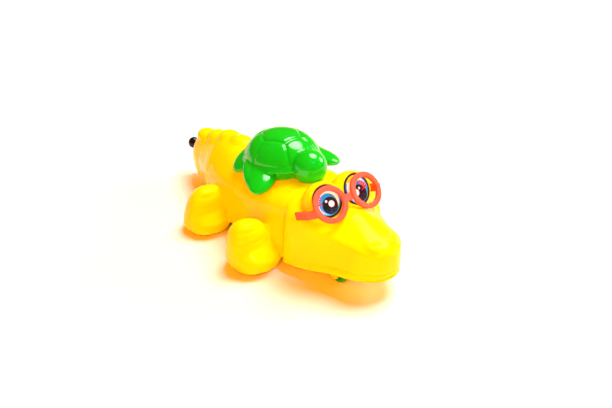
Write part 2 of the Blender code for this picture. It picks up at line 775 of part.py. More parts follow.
def drill(target, at, radius=BORE):
    hole = lathe([(0, -30), (radius, -30), (radius, 30), (0, 30)], 12, gear_frame(at))
    return combine(target, finish("bore", hole), "DIFFERENCE")


def make_gears(looks):
    axle, clutch, compound, reel = centres()
    reel_turn = 0.0
    pinion_turn = meshed_turn(COMPOUND_PINION_TEETH, compound, REEL_TEETH, reel, reel_turn)
    clutch_turn = meshed_turn(CLUTCH_TEETH, clutch, COMPOUND_WHEEL_TEETH, compound, pinion_turn)

    inner, outer = INNER_PLANE, OUTER_PLANE
    face, web, cup = BOX_INNER - GAP, inner + GEAR_WIDTH, FLANGE_RADIUS - CUP_WALL
    disc = MODULE * REEL_TEETH / 2 - REEL_WEB_INSIDE
    body = lathe([
        (0, face), (2.7, face), (2.7, web), (disc, web - 0.01), (disc, inner),
        (DRUM_RADIUS, DRUM_HALF_WIDTH), (DRUM_RADIUS, -DRUM_HALF_WIDTH), (FLANGE_RADIUS, -DRUM_HALF_WIDTH),
        (FLANGE_RADIUS, -face), (cup, -face), (cup, -DRUM_HALF_WIDTH - 1.0), (0, -DRUM_HALF_WIDTH - 1.0),
    ], 20, gear_frame(reel))
    string_reel = finish("string_reel", body)
    teeth = prism(turned(gear_points(REEL_TEETH), reel_turn), inner, inner + GEAR_WIDTH, gear_frame(reel))
    combine(string_reel, finish("reel_teeth", teeth), "UNION")
    drill(string_reel, reel)
    paint(string_reel, looks["ivory"])

    place = gear_frame(compound)
    hub = [(0, -face), (COMPOUND_HUB, -face), (COMPOUND_HUB, face), (0, face)]
    compound_gear = finish("compound_gear", lathe(hub, 12, place))
    small = turned(gear_points(COMPOUND_PINION_TEETH), pinion_turn)
    small = prism(small, inner, inner + GEAR_WIDTH + 0.4, place)
    combine(compound_gear, finish("small", small), "UNION")
    large = turned(gear_points(COMPOUND_WHEEL_TEETH), pinion_turn)
    large = prism(large, outer, outer + GEAR_WIDTH - 0.2, place)
    combine(compound_gear, finish("large", large), "UNION")
    drill(compound_gear, compound, SHAFT * 0.8 + GAP)
    paint(compound_gear, looks["ivory"])

    reach = BOX_INNER + BOX_PLATE - 0.2
    pin = lathe([
        (0, -reach), (SHAFT, -reach), (SHAFT, outer - 1.0), (1.6, outer - 1.0), (1.6, face),
        (SHAFT, face), (SHAFT, reach), (0, reach),
    ], 12, gear_frame(clutch))
    clutch_pinion = finish("clutch_pinion", pin)
    teeth = turned(gear_points(CLUTCH_TEETH), clutch_turn)
    teeth = prism(teeth, outer, outer + GEAR_WIDTH - 0.4, gear_frame(clutch))
    combine(clutch_pinion, finish("teeth", teeth), "UNION")
    paint(clutch_pinion, looks["ivory"])

    teeth = gear_points(AXLE_TEETH)
    axle_gear = finish("axle_gear", prism(teeth, outer - 0.2, outer + GEAR_WIDTH - 0.2, gear_frame(axle)))
    drill(axle_gear, axle)
    paint(axle_gear, looks["ivory"])

    for name, at, radius in (("reel_arbor", reel, SHAFT), ("compound_pin", compound, SHAFT * 0.8)):
        rod = lathe([(0, -reach), (radius, -reach), (radius, reach), (0, reach)], 14, gear_frame(at))
        paint(finish(name, rod), looks["steel"])


def make_spring(look):
    """Flat spiral spring in the cup of the reel, from the arbor out to the cup wall."""
    reel = centres()[3]
    inner = BORE + 1.0
    outer = FLANGE_RADIUS - CUP_WALL - GAP - 0.4
    turns, per_turn, thick = 5, 12, 0.28
    low, high = GAP - BOX_INNER + 0.3, -DRUM_HALF_WIDTH - 1.0 - GAP
    place = gear_frame(reel)
    rings = []
    for k in range(turns * per_turn + 1):
        share = k / (turns * per_turn)
        angle = 2 * math.pi * turns * share
        r = inner + (outer - inner) * share
        c, s = math.cos(angle), math.sin(angle)
        corners = ((r - thick / 2, low), (r + thick / 2, low), (r + thick / 2, high), (r - thick / 2, high))
        rings.append([place @ Vector((q * c, q * s, h)) for q, h in corners])
    paint(finish("main_spring", loft(rings)), look)


def cord_tube(name, points, look, sides):
    """Round cord along a row of points."""
    rings = []
    for k, p in enumerate(points):
        a = points[max(0, k - 1)]
        b = points[min(len(points) - 1, k + 1)]
        ahead = (b - a).normalized()
        across = ahead.cross(Vector((0, 0, 1)))
        if across.length < 0.2:
            across = ahead.cross(Vector((1, 0, 0)))
        across.normalize()
        up = across.cross(ahead)
        ring = []
        for i in range(sides):
            t = 2 * math.pi * i / sides
            ring.append(p + across * CORD_RADIUS * math.cos(t) + up * CORD_RADIUS * math.sin(t))
        rings.append(ring)
    made = finish(name, loft(rings))
    paint(made, look)
    return made


def least_gap(points, apart):
    """Smallest clear distance of a cord to itself, between points at least apart steps from each other."""
    near = min((p - q).length for k, p in enumerate(points) for q in points[k + apart:])
    return near - 2 * CORD_RADIUS


def make_cord(look, knob_look):
    """Cord wound on the drum, its run through the tail, and the knob that stops it there."""
    reel = centres()[3]
    radius = DRUM_RADIUS + GAP + CORD_RADIUS
    per_turn = 18
    wound = []
    for k in range(CORD_TURNS * per_turn - 1):
        turn = k / per_turn
        angle = math.pi / 2 - 0.30 - 2 * math.pi * turn
        y = CORD_PITCH * (CORD_TURNS / 2 - turn)
        wound.append(Vector((reel[0] + radius * math.cos(angle), y, reel[1] + radius * math.sin(angle))))
    cord_tube("cord_winding", list(reversed(wound)), look, 5)
    print(f"cord winding, least gap to itself: {least_gap(wound, per_turn // 2):.2f} mm")
    start = Vector((reel[0] - 0.6, CORD_PITCH * CORD_TURNS / 2, reel[1] + radius))
    guide = Vector((TAIL_END_X + 12.0, 0, KNOB_Z))
    knob_x = TAIL_END_X - GAP - KNOB_RADIUS
    run = [start.lerp(guide, k / 10) for k in range(11)]
    run += [Vector((x, 0, KNOB_Z)) for x in (TAIL_END_X + 6.0, TAIL_END_X, knob_x + 0.6)]
    cord_tube("pull_cord", run, look, 8)
    r = KNOB_RADIUS
    hole = CORD_RADIUS + GAP
    profile = [(hole, r * math.cos(math.asin(hole / r)))]
    for k in range(1, 8):
        a = math.asin(hole / r) + (math.pi - 2 * math.asin(hole / r)) * k / 8
        profile.append((r * math.sin(a), r * math.cos(a)))
    profile.append((hole, -r * math.cos(math.asin(hole / r))))
    knob = finish("pull_knob", lathe(profile, 16, along((1, 0, 0), (knob_x, 0, KNOB_Z)), True))
    paint(knob, knob_look)


# Gearbox plates with bearing holes, clutch slot, posts and screw tabs

TYRE_CLEAR = 0.9       # tyres to the head of the gearbox's rear screw
REAR_POST = (AXLE_X - WHEEL_RADIUS - TYRE_CLEAR - SCREW_HEAD, 12.2)
REAR_TAB = (REAR_POST[0] - 6.0, BOX_INNER - 3.2)
FRONT_TAB = (10.5, BOX_INNER + BOX_PLATE + 3.2)
TOP_POST = (-16.0, 25.4)
FRONT_POST_ANGLE = -37.3
POST_RADIUS = 2.0
POST_CLEAR = 0.5       # front post to the reel's teeth
ROOF_CLEAR = 1.5       # gearbox plates below the roof of the shell
SCREW_BITE = 7.8       # how far a gearbox screw runs into its post


def tab_places():
    for x, y in (REAR_TAB, FRONT_TAB):
        for side in (-1, 1):
            yield x, side * y


def posts():
    """Places (x, z) of the three posts. The front one keeps clear of the reel's teeth."""
    reel = centres()[3]
    away = MODULE * (REEL_TEETH / 2 + TOOTH_TIP) + POST_RADIUS + POST_CLEAR
    a = math.radians(FRONT_POST_ANGLE)
    return REAR_POST, TOP_POST, (reel[0] + away * math.cos(a), reel[1] + away * math.sin(a))


def roof(x):
    """Highest z for the edge of a gearbox plate under the shell."""
    return surface_z(x, BOX_INNER + BOX_PLATE, WALL) - ROOF_CLEAR


def plate_outline(low):
    reel = centres()[3]
    front = posts()[2]
    return [
        (REAR_TAB[0] - 3.0, low), (front[0] + 2.4, low), (front[0] + 3.8, front[1] - 1.2),
        (front[0] + 1.9, reel[1] + 1.0), (reel[0] + 8.6, reel[1] + 8.6), (reel[0] + 1.0, roof(reel[0] + 1.0)),
        (TOP_POST[0] + 1.0, roof(TOP_POST[0] + 1.0)), (TOP_POST[0] - 2.6, TOP_POST[1] + 1.6),
        (REAR_POST[0] - 2.0, REAR_POST[1] + 2.8), (REAR_TAB[0] - 3.0, low + 4.0),
    ]


def clutch_slot(grow):
    """Arc slot that lets the clutch pinion roll round the compound gear into the axle gear."""
    axle, clutch, compound, _ = centres()
    apart = math.hypot(clutch[0] - compound[0], clutch[1] - compound[1])
    angle = math.atan2(clutch[1] - compound[1], clutch[0] - compound[0])
    outer, inner = [], []
    for k in range(7):
        a = angle + math.radians(-3.0 + 22.0 * k / 6)
        outer.append((compound[0] + (apart + grow) * math.cos(a), compound[1] + (apart + grow) * math.sin(a)))
        inner.append((compound[0] + (apart - grow) * math.cos(a), compound[1] + (apart - grow) * math.sin(a)))
    ends = []
    for a, sign in ((angle + math.radians(19.0), 1), (angle - math.radians(3.0), -1)):
        mid = Vector((compound[0] + apart * math.cos(a), compound[1] + apart * math.sin(a)))
        tangent = Vector((-math.sin(a), math.cos(a))) * sign
        ends.append(mid + tangent * grow)
    return outer + [tuple(ends[0])] + inner[::-1] + [tuple(ends[1])]


def make_gearbox(looks):
    axle, clutch, compound, reel = centres()
    low = base_top(0.0) + GAP
    flat = gear_frame((0.0, 0.0))
    for side, name in ((-1, "gearbox_right_plate"), (1, "gearbox_left_plate")):
        y0, y1 = sorted((side * BOX_INNER, side * (BOX_INNER + BOX_PLATE)))
        plate = finish(name, prism(plate_outline(low), y0, y1, flat))
        for x, y in tab_places():
            if y * side < 0:
                continue
            t0, t1 = sorted((side * (BOX_INNER + 0.4), y + (3.0 if abs(y) > BOX_INNER else -3.0) * side))
            tab = box((x - 2.8, t0, low), (x + 2.8, t1, low + 4.6))
            combine(plate, finish("tab", tab), "UNION")
            hole = cylinder((0, 0, 1), (x, y, 0), SCREW_RADIUS + GAP, 0, low + 3.8, 12)
            combine(plate, finish("hole", hole), "DIFFERENCE")
        if side < 0:
            for at in posts():
                foot = (at[0], 0, at[1])
                rod = cylinder((0, 1, 0), foot, POST_RADIUS, -BOX_INNER - 0.5, BOX_INNER - GAP, 12)
                combine(plate, finish("post", rod), "UNION")
                hole = cylinder((0, 1, 0), foot, SCREW_RADIUS + GAP, BOX_INNER - SCREW_BITE - 1.6, 20.0, 10)
                combine(plate, finish("hole", hole), "DIFFERENCE")
        else:
            for at in posts():
                drill(plate, at, SCREW_RADIUS + GAP)
        drill(plate, axle)
        drill(plate, reel)
        drill(plate, compound, SHAFT * 0.8 + GAP)
        slot = prism(clutch_slot(BORE), y0 - 1, y1 + 1, flat)
        combine(plate, finish("slot", slot), "DIFFERENCE")
        paint(plate, looks["red"])


# Screws

def make_screw(name, place, length, look):
    """Pan head below local z = 0, shank up along local Z."""
    profile = [
        (0, -SCREW_HEAD_HEIGHT), (SCREW_HEAD * 0.7, -SCREW_HEAD_HEIGHT), (SCREW_HEAD, 0), (SCREW_RADIUS, 0),
        (SCREW_RADIUS, length - 1.4), (0, length),
    ]
    paint(finish(name, lathe(profile, 10, place)), look)


def make_screws(look):
    up = (0, 0, 1)
    for n, (x, y) in enumerate(boss_places(), 1):
        seat = rim_z(x) + 0.8 - 0.1
        make_screw(f"base_screw_{n}", along(up, (x, y, seat)), 8.4, look)
    for n, (x, y) in enumerate(tab_places(), 1):
        seat = rim_z(x) + 0.8 - 0.1
        make_screw(f"gearbox_foot_screw_{n}", along(up, (x, y, seat)), 4.8, look)
    for n, at in enumerate(posts(), 1):
        place = along((0, -1, 0), (at[0], BOX_INNER + BOX_PLATE + 0.1, at[1]))
        make_screw(f"gearbox_screw_{n}", place, SCREW_BITE + 0.2, look)
    for name, x in (("turtle_screw_rear", TURTLE_POST_REAR), ("turtle_screw_front", TURTLE_POST_FRONT)):
        seat = post_bottom(x) - 0.1
        make_screw(name, along(up, (x, 0, seat)), 7.4, look)


# Axles and wheels

def make_wheels(looks):
    for side, word in ((-1, "right"), (1, "left")):
        place = along((0, side, 0), (AXLE_X, side * WHEEL_Y, WHEEL_RADIUS))
        h = WHEEL_WIDTH / 2
        r = WHEEL_RADIUS - TYRE - GAP
        profile = [
            (BORE, -h - 0.3), (3.0, -h - 0.3), (3.2, -h + 1.2), (r - 1.4, -h + 1.2), (r - 1.2, -h), (r, -h),
            (r, h), (r - 1.2, h), (r - 1.4, h - 1.2), (3.2, h - 1.2), (3.0, h), (BORE, h),
        ]
        paint(finish(f"{word}_drive_wheel", lathe(profile, 16, place, True)), looks["green"])
        i, o = WHEEL_RADIUS - TYRE, WHEEL_RADIUS
        tread = [(i, -h), (o - 0.4, -h), (o, -h + 0.5), (o, -0.5), (o - 0.5, 0)]
        tread += [(radius, -height) for radius, height in reversed(tread[:-1])]
        paint(finish(f"{word}_drive_tyre", lathe(tread, 20, place, True)), looks["rubber"])
        place = along((0, side, 0), (FRONT_X, side * FRONT_Y, FRONT_RADIUS))
        h = FRONT_WIDTH / 2
        r = FRONT_RADIUS
        profile = [
            (BORE, -h), (r - 0.6, -h), (r, -h + 0.6), (r, h - 0.6), (r - 0.6, h), (r - 1.6, h),
            (r - 1.9, h - 1.0), (2.7, h - 1.0), (2.5, h), (BORE, h),
        ]
        paint(finish(f"{word}_front_wheel", lathe(profile, 18, place, True)), looks["green"])
    reach = WHEEL_Y + WHEEL_WIDTH / 2 + 0.4
    rod = [(0, -reach), (SHAFT, -reach), (SHAFT, reach), (0, reach)]
    paint(finish("drive_axle", lathe(rod, 14, gear_frame(centres()[0]))), looks["steel"])
    reach = FRONT_Y + FRONT_WIDTH / 2 + SLOT_GAP + 3.4
    rod = [(0, -reach), (SHAFT, -reach), (SHAFT, reach), (0, reach)]
    paint(finish("front_axle", lathe(rod, 14, gear_frame((FRONT_X, FRONT_RADIUS)))), looks["steel"])


# Turtle

def turtle_place():
    """Local frame of the turtle: on the back, nose up by the tilt."""
    lift = Matrix.Translation((TURTLE_X, 0, BACK_HEIGHT + TURTLE_BRIM + 0.9))
    return lift @ Matrix.Rotation(math.radians(-TURTLE_TILT), 4, "Y")


def post_bottom(x):
    return surface_z(x, 0, WALL) - 1.0


def dome(inset, low):
    """Upper shell of the turtle as a stack of ellipses over a short brim."""
    place = turtle_place()
    a, b, h = TURTLE_LENGTH - inset, TURTLE_HALF_WIDTH - inset, TURTLE_RISE - inset
    rings = [(low, 0.80)]
    if not inset:
        rings += [(-TURTLE_BRIM * 0.5, 0.88), (-TURTLE_BRIM * 0.45, 1.0), (-0.5, 1.06), (0.5, 1.035)]
    for k in range(7):
        rise = math.radians(7.0 + 70.0 * k / 6)
        rings.append((h * math.sin(rise) ** 1.06, math.cos(rise) ** 0.96))
    count = 12 if inset else 24
    made = []
    for z, r in rings:
        ring = []
        for k in range(count):
            t = 2 * math.pi * k / count
            ring.append(place @ Vector((a * r * math.cos(t), b * r * math.sin(t), z)))
        made.append(ring)
    return loft(made)


def flipper(root, tip, width, thick):
    root, tip = Vector(root), Vector(tip)
    ahead = (tip - root).normalized()
    across = ahead.cross(Vector((0, 0, 1))).normalized()
    up = across.cross(ahead)
    turn = Matrix((ahead, across, up)).transposed()
    half = (tip - root).length / 2
    return ellipsoid((root + tip) / 2, (half, width, thick), 8, 12, turn)


def make_turtle(look):
    turtle = finish("turtle", dome(0.0, -9.0))
    top = BACK_HEIGHT
    x, z = TURTLE_HEAD_X, top + TURTLE_HEAD_RAISE
    r = TURTLE_HEAD_RADIUS
    combine(turtle, finish("head", ellipsoid((x, 0, z), (r, r, r), 9, 14)), "UNION")
    neck = ellipsoid((x - 6.0, 0, z - 3.0), (7.0, 6.0, 6.0), 6, 10)
    combine(turtle, finish("neck", neck), "UNION")
    for side in (-1, 1):
        root = (TURTLE_X - 1.0, side * 7.0, top + 5.0)
        front = flipper(root, (TURTLE_X + 12.2, side * 24.0, top - 2.4), 6.4, 3.0)
        combine(turtle, finish("front_flipper", front), "UNION")
        root = (TURTLE_X - 7.0, side * 14.4, top + 3.4)
        heel = flipper(root, (TURTLE_X + 10.8, side * 23.2, top - 3.0), 3.6, 2.6)
        combine(turtle, finish("flipper_heel", heel), "UNION")
        root = (TURTLE_X - 11.0, side * 4.0, top + 6.4)
        rear = flipper(root, (TURTLE_X - 13.6, side * 17.4, top - 4.2), 5.6, 2.8)
        combine(turtle, finish("rear_flipper", rear), "UNION")
    stub = ellipsoid((TURTLE_X - TURTLE_LENGTH - 0.6, 0, top + 1.6), (4.2, 2.4, 1.8), 6, 8)
    combine(turtle, finish("stub_tail", stub), "UNION")
    combine(turtle, body_loft("back", -GAP, 0.0, False, False), "DIFFERENCE")
    combine(turtle, finish("hollow", dome(TURTLE_WALL, -9.0)), "DIFFERENCE")
    for x in (TURTLE_POST_REAR, TURTLE_POST_FRONT):
        post = finish("post", cylinder((0, 0, 1), (x, 0, 0), BOSS_RADIUS - 0.4, post_bottom(x), 90.0, 16))
        combine(post, finish("trimmer", dome(TURTLE_WALL / 2, -20.0)), "INTERSECT")
        combine(turtle, post, "UNION")
        hole = cylinder((0, 0, 1), (x, 0, 0), SCREW_RADIUS + GAP, 0, post_bottom(x) + 9.0, 12)
        combine(turtle, finish("hole", hole), "DIFFERENCE")
    paint(turtle, look)


# Spectacles and eye stickers

def ring_matrix(side):
    """Frame of one spectacle ring, which stands before the eye and tilts up a little more than it."""
    centre = eye_matrix(side).translation + Vector((RING_FORWARD, side * RING_OUTWARD, RING_RAISE))
    return along(eye_look(side, RING_TILT), centre)


def arm_run(side):
    """Start and end of an arm's centre line, past the eye bulge and back and down to the head."""
    slope = math.radians(ARM_SLOPE)
    start = ring_matrix(side).translation + Vector((0.3, 0, -ARM_BELOW))
    start.y = side * (EYE_HALF_SPACING + EYE_RADIUS + ARM_CLEAR + ARM_THICK / 2)
    end = start + Vector((-math.cos(slope), 0, -math.sin(slope))) * ARM_LENGTH
    return start, end


def peg_place(side):
    """Foot of the peg on the inner face of an arm's end."""
    start, end = arm_run(side)
    back = (start - end).normalized()
    return end + back * 1.7 + Vector((0, -side * ARM_THICK / 2, 0))


def make_glasses(look):
    h = RING_DEPTH / 2
    o, i = RING_RADIUS, RING_HOLE
    profile = [(i, -h), (o, -h), (o, h - 0.5), (o - 0.5, h), (i + 0.5, h), (i, h - 0.5)]
    glasses = finish("glasses", lathe(profile, 26, ring_matrix(-1), True))
    combine(glasses, finish("left_ring", lathe(profile, 26, ring_matrix(1), True)), "UNION")
    middle = (ring_matrix(-1).translation + ring_matrix(1).translation) / 2
    tilt = Matrix.Rotation(math.radians(-RING_TILT), 4, "Y")
    slope = Matrix.Rotation(math.radians(-ARM_SLOPE), 4, "Y")
    span = (ring_matrix(1).translation.y - RING_RADIUS) + 0.9
    bridge = box((-h + 0.1, -span, -1.6), (h - 0.1, span, 1.6))
    bmesh.ops.transform(bridge, matrix=Matrix.Translation(middle) @ tilt, verts=bridge.verts)
    combine(glasses, finish("bridge", bridge), "UNION")
    for side in (-1, 1):
        start, end = arm_run(side)
        length = (end - start).length
        arm = box((-length, -ARM_THICK / 2, -ARM_HEIGHT / 2), (0.6, ARM_THICK / 2, ARM_HEIGHT / 2))
        bmesh.ops.transform(arm, matrix=Matrix.Translation(start) @ slope, verts=arm.verts)
        combine(glasses, finish("arm", arm), "UNION")
        reach = abs(start.y) - abs(ring_matrix(side).translation.y) - RING_RADIUS + 1.1
        y0, y1 = sorted((side * 0.35, -side * reach))
        link = box((-1.1, y0, 0.25 - ARM_HEIGHT / 2), (0.35, y1, ARM_HEIGHT / 2 - 0.25))
        bmesh.ops.transform(link, matrix=Matrix.Translation(start) @ slope, verts=link.verts)
        combine(glasses, finish("link", link), "UNION")
        peg = cylinder((0, -side, 0), peg_place(side), PEG_RADIUS, -0.6, PEG_LENGTH, 14)
        combine(glasses, finish("peg", peg), "UNION")
    paint(glasses, look)


def make_stickers(look):
    for side, word in ((-1, "right"), (1, "left")):
        t = STICKER_THICK
        profile = [(0, -t), (STICKER_RADIUS, -t), (STICKER_RADIUS, 0), (0, 0)]
        paint(finish(f"{word}_eye_sticker", lathe(profile, 24, eye_matrix(side))), look)


# Assembly

def parent_to_axis(names, name, at):
    """Empty on a turning or sliding axis that carries its pieces."""
    pivot = bpy.data.objects.new(name, None)
    pivot.location = Vector(at) * MM
    bpy.context.scene.collection.objects.link(pivot)
    bpy.context.view_layer.update()
    for n in names:
        piece = bpy.data.objects[n]
        piece.parent = pivot
        piece.matrix_parent_inverse = pivot.matrix_world.inverted()


def centre_on_origin():
    """Move the whole toy along X so that its bounding box is centred."""
    meshes = [o for o in bpy.data.objects if o.type == "MESH"]
    xs = [v.co.x for o in meshes for v in o.data.vertices]
    shift = Matrix.Translation((-(min(xs) + max(xs)) / 2, 0, 0))
    for o in meshes:
        o.data.transform(shift)
    return shift.translation.x / MM


def build():
    clear_scene()
    looks = {
        "yellow": material("yellow_plastic", YELLOW, 0.22),
        "green": material("green_plastic", GREEN, 0.22),
        "turtle": material("turtle_green_plastic", GREEN, 0.2),
        "coral": material("coral_plastic", CORAL, 0.28),
        "black": material("black_plastic", BLACK, 0.25),
        "print": material("printed_film", WHITE, 0.2),
        "ivory": material("ivory_nylon", IVORY, 0.45),
        "steel": material("steel", STEEL, 0.25, 1.0),
        "red": material("red_plastic", RED, 0.35),
        "rubber": material("black_rubber", BLACK, 0.75),
        "cord": material("braided_cord", CORD_WHITE, 0.9),
    }
    make_body_shell(looks["yellow"])
    make_base_plate(looks["yellow"])
    make_turtle(looks["turtle"])
    make_glasses(looks["coral"])
    make_stickers(looks["print"])
    make_gears(looks)
    make_spring(looks["steel"])
    make_cord(looks["cord"], looks["black"])
    make_gearbox(looks)
    make_wheels(looks)
    make_screws(looks["steel"])
    shift = centre_on_origin()
    axle, clutch, compound, reel = centres()
    drive = ["drive_axle", "axle_gear"]
    drive += [f"{word}_drive_{piece}" for word in ("left", "right") for piece in ("wheel", "tyre")]
    parent_to_axis(drive, "drive_axis", (axle[0] + shift, 0, axle[1]))
    parent_to_axis(["clutch_pinion"], "clutch_axis", (clutch[0] + shift, 0, clutch[1]))
    parent_to_axis(["compound_gear"], "compound_axis", (compound[0] + shift, 0, compound[1]))
    parent_to_axis(["string_reel", "cord_winding"], "reel_axis", (reel[0] + shift, 0, reel[1]))
    front = ["front_axle", "left_front_wheel", "right_front_wheel"]
    parent_to_axis(front, "front_axis", (FRONT_X + shift, 0, FRONT_RADIUS))
    knob_x = TAIL_END_X - GAP - KNOB_RADIUS + shift
    parent_to_axis(["pull_knob"], "pull_axis", (knob_x, 0, KNOB_Z))


build()
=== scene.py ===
import json
import math
from collections import namedtuple

import bmesh
import bpy
import numpy as np
from mathutils import Matrix, Vector


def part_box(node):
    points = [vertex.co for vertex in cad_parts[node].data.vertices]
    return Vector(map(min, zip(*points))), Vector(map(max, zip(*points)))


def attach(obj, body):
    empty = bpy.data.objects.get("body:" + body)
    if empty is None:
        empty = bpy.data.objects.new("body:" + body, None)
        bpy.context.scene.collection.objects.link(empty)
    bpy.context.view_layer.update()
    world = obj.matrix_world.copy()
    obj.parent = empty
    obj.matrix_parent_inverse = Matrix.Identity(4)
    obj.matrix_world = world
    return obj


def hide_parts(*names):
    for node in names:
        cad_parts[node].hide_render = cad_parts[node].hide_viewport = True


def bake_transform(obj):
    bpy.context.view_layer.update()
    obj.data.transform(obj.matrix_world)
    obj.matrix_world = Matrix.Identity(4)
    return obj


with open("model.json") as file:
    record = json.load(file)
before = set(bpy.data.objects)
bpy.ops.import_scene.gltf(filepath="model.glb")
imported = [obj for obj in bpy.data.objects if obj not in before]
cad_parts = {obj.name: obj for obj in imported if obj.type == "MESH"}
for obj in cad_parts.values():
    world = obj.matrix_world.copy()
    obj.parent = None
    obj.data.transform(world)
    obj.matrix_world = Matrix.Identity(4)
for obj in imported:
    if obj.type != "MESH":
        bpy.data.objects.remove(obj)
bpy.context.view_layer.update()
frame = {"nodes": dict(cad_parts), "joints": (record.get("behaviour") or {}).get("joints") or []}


# Gear train
# Gears, clutch pinion and string reel, moulded in natural nylon and left unfinished.
# They turn on drawn steel pins between the gearbox plates and show only through the base's slots.

def set_all(thing, settings):
    """Set named settings of a node, modifier, lamp or camera, in order."""
    for name, value in settings.items():
        setattr(thing, name, value)
    return thing


class Wire:
    """One socket of a node tree. Arithmetic between wires and numbers adds Math nodes."""

    def __init__(self, tree, socket=None):
        self.tree = tree
        self.socket = socket

    def node(self, kind, sockets=None, out=0, **settings):
        """Add a node: settings first, then the values or wires of its sockets. Gives one output."""
        made = set_all(self.tree.nodes.new(kind), settings)
        for name, value in (sockets or {}).items():
            if isinstance(value, Wire):
                self.tree.links.new(value.socket, made.inputs[name])
            else:
                made.inputs[name].default_value = value
        return Wire(self.tree, made.outputs[out])

    def math(self, operation, *values):
        return self.node("ShaderNodeMath", dict(enumerate(values)), operation=operation)

    def __abs__(self):
        return self.math("ABSOLUTE", self)

    def smooth(self, low, high):
        """0 at low and 1 at high, with soft ends. Low may be the larger."""
        sockets = {"Value": self, "From Min": low, "From Max": high}
        return self.node("ShaderNodeMapRange", sockets, interpolation_type="SMOOTHSTEP")

    def mix(self, low, high):
        """Colour low where this wire is 0, colour high where it is 1."""
        ends = [c if isinstance(c, Wire) else (*c, 1.0) for c in (low, high)]
        return self.node("ShaderNodeMix", {0: self, 6: ends[0], 7: ends[1]}, 2, data_type="RGBA")

    def noise(self, scale, detail=2.0):
        """Cloudy value between 0 and 1 with its lumps 1/scale metres apart."""
        return self.node("ShaderNodeTexNoise", {"Vector": self, "Scale": scale, "Detail": detail})

    def stretched(self, scale):
        """These coordinates drawn out along the axes with the small scales."""
        return self.node("ShaderNodeMapping", {"Vector": self, "Scale": scale})

    def bump(self, depth):
        """Normal for this wire taken as a height of 0 to 1 times depth in metres."""
        return self.node("ShaderNodeBump", {"Height": self, "Distance": depth, "Strength": 1.0})


# Each operator with its reflected form, so that 1 - mask works too
OPERATORS = {"add": "ADD", "sub": "SUBTRACT", "mul": "MULTIPLY", "truediv": "DIVIDE", "pow": "POWER"}
for word, operation in OPERATORS.items():
    setattr(Wire, f"__{word}__", lambda self, other, way=operation: self.math(way, self, other))
    setattr(Wire, f"__r{word}__", lambda self, other, way=operation: self.math(way, other, self))


def new_finish(name, fixed):
    """Material with its constant values, and the wire of the object's coordinates in metres."""
    look = bpy.data.materials.new(name)
    look.use_nodes = True
    shader = look.node_tree.nodes["Principled BSDF"]
    for socket, value in fixed.items():
        shader.inputs[socket].default_value = value
    return look, Wire(look.node_tree).node("ShaderNodeTexCoord", out="Object")


def lay_on(look, **wires):
    """Join wires to the shader's sockets, written with _ for a space."""
    shader = look.node_tree.nodes["Principled BSDF"]
    for socket, wire in wires.items():
        look.node_tree.links.new(wire.socket, shader.inputs[socket.replace("_", " ")])
    return look


def grained(look, tint, grain, rough, spread, depth):
    """A tint, and a grain that adds up to spread to the roughness and stands depth metres high."""
    lay_on(look, Base_Color=tint, Roughness=rough + spread * grain, Normal=grain.bump(depth))


def dress(look, *names):
    """Give nodes of the frame that stay in view their material."""
    for name in names:
        frame["nodes"][name].active_material = look


nylon, place = new_finish("natural_nylon", {"Subsurface Weight": 0.2, "Subsurface Scale": 0.001})
tint = place.noise(140.0, 3.0).mix((0.72, 0.68, 0.56), (0.82, 0.79, 0.70))
grained(nylon, tint, place.noise(2600.0), rough=0.36, spread=0.14, depth=0.00002)
steel, place = new_finish("drawn_steel", {"Metallic": 1.0})
tint = place.noise(220.0, 3.0).mix((0.42, 0.43, 0.45), (0.62, 0.62, 0.63))
draw = place.stretched((900.0, 25.0, 900.0)).noise(1.0, 4.0)
grained(steel, tint, draw, rough=0.18, spread=0.2, depth=0.00001)
dress(nylon, "string_reel", "compound_gear", "clutch_pinion", "axle_gear")
dress(steel, "reel_arbor", "compound_pin", "main_spring", "drive_axle", "front_axle")


# Gearbox plates
# Two red moulded side plates that hold the pins, with an arc slot for the clutch pinion.
# The right one has the posts that three screws pull the left one onto.

red, place = new_finish("gearbox_red", {})
tint = place.noise(90.0, 3.0).mix((0.50, 0.015, 0.012), (0.66, 0.028, 0.018))
grained(red, tint, place.noise(1800.0), rough=0.32, spread=0.16, depth=0.00003)
dress(red, "gearbox_left_plate", "gearbox_right_plate")


# String on its reel
# Thin braided polyester cord in five turns on the drum, wound one beside the other.
# Its outer end leaves the top of the drum and runs back through the tail to the knob.

MM = 0.001
CORD_RADIUS = 0.5
CORD_PITCH = 1.5
CORD_TURNS = 5
OPEN_TURN = 0.1
STRANDS = 4.0
STRAND_LENGTH = 1.2
DRUM_RADIUS = 6.7
GAP = 0.3

JOINTS = {joint["name"]: Vector(joint["pos_m"]) for joint in frame["joints"] if "pos_m" in joint}


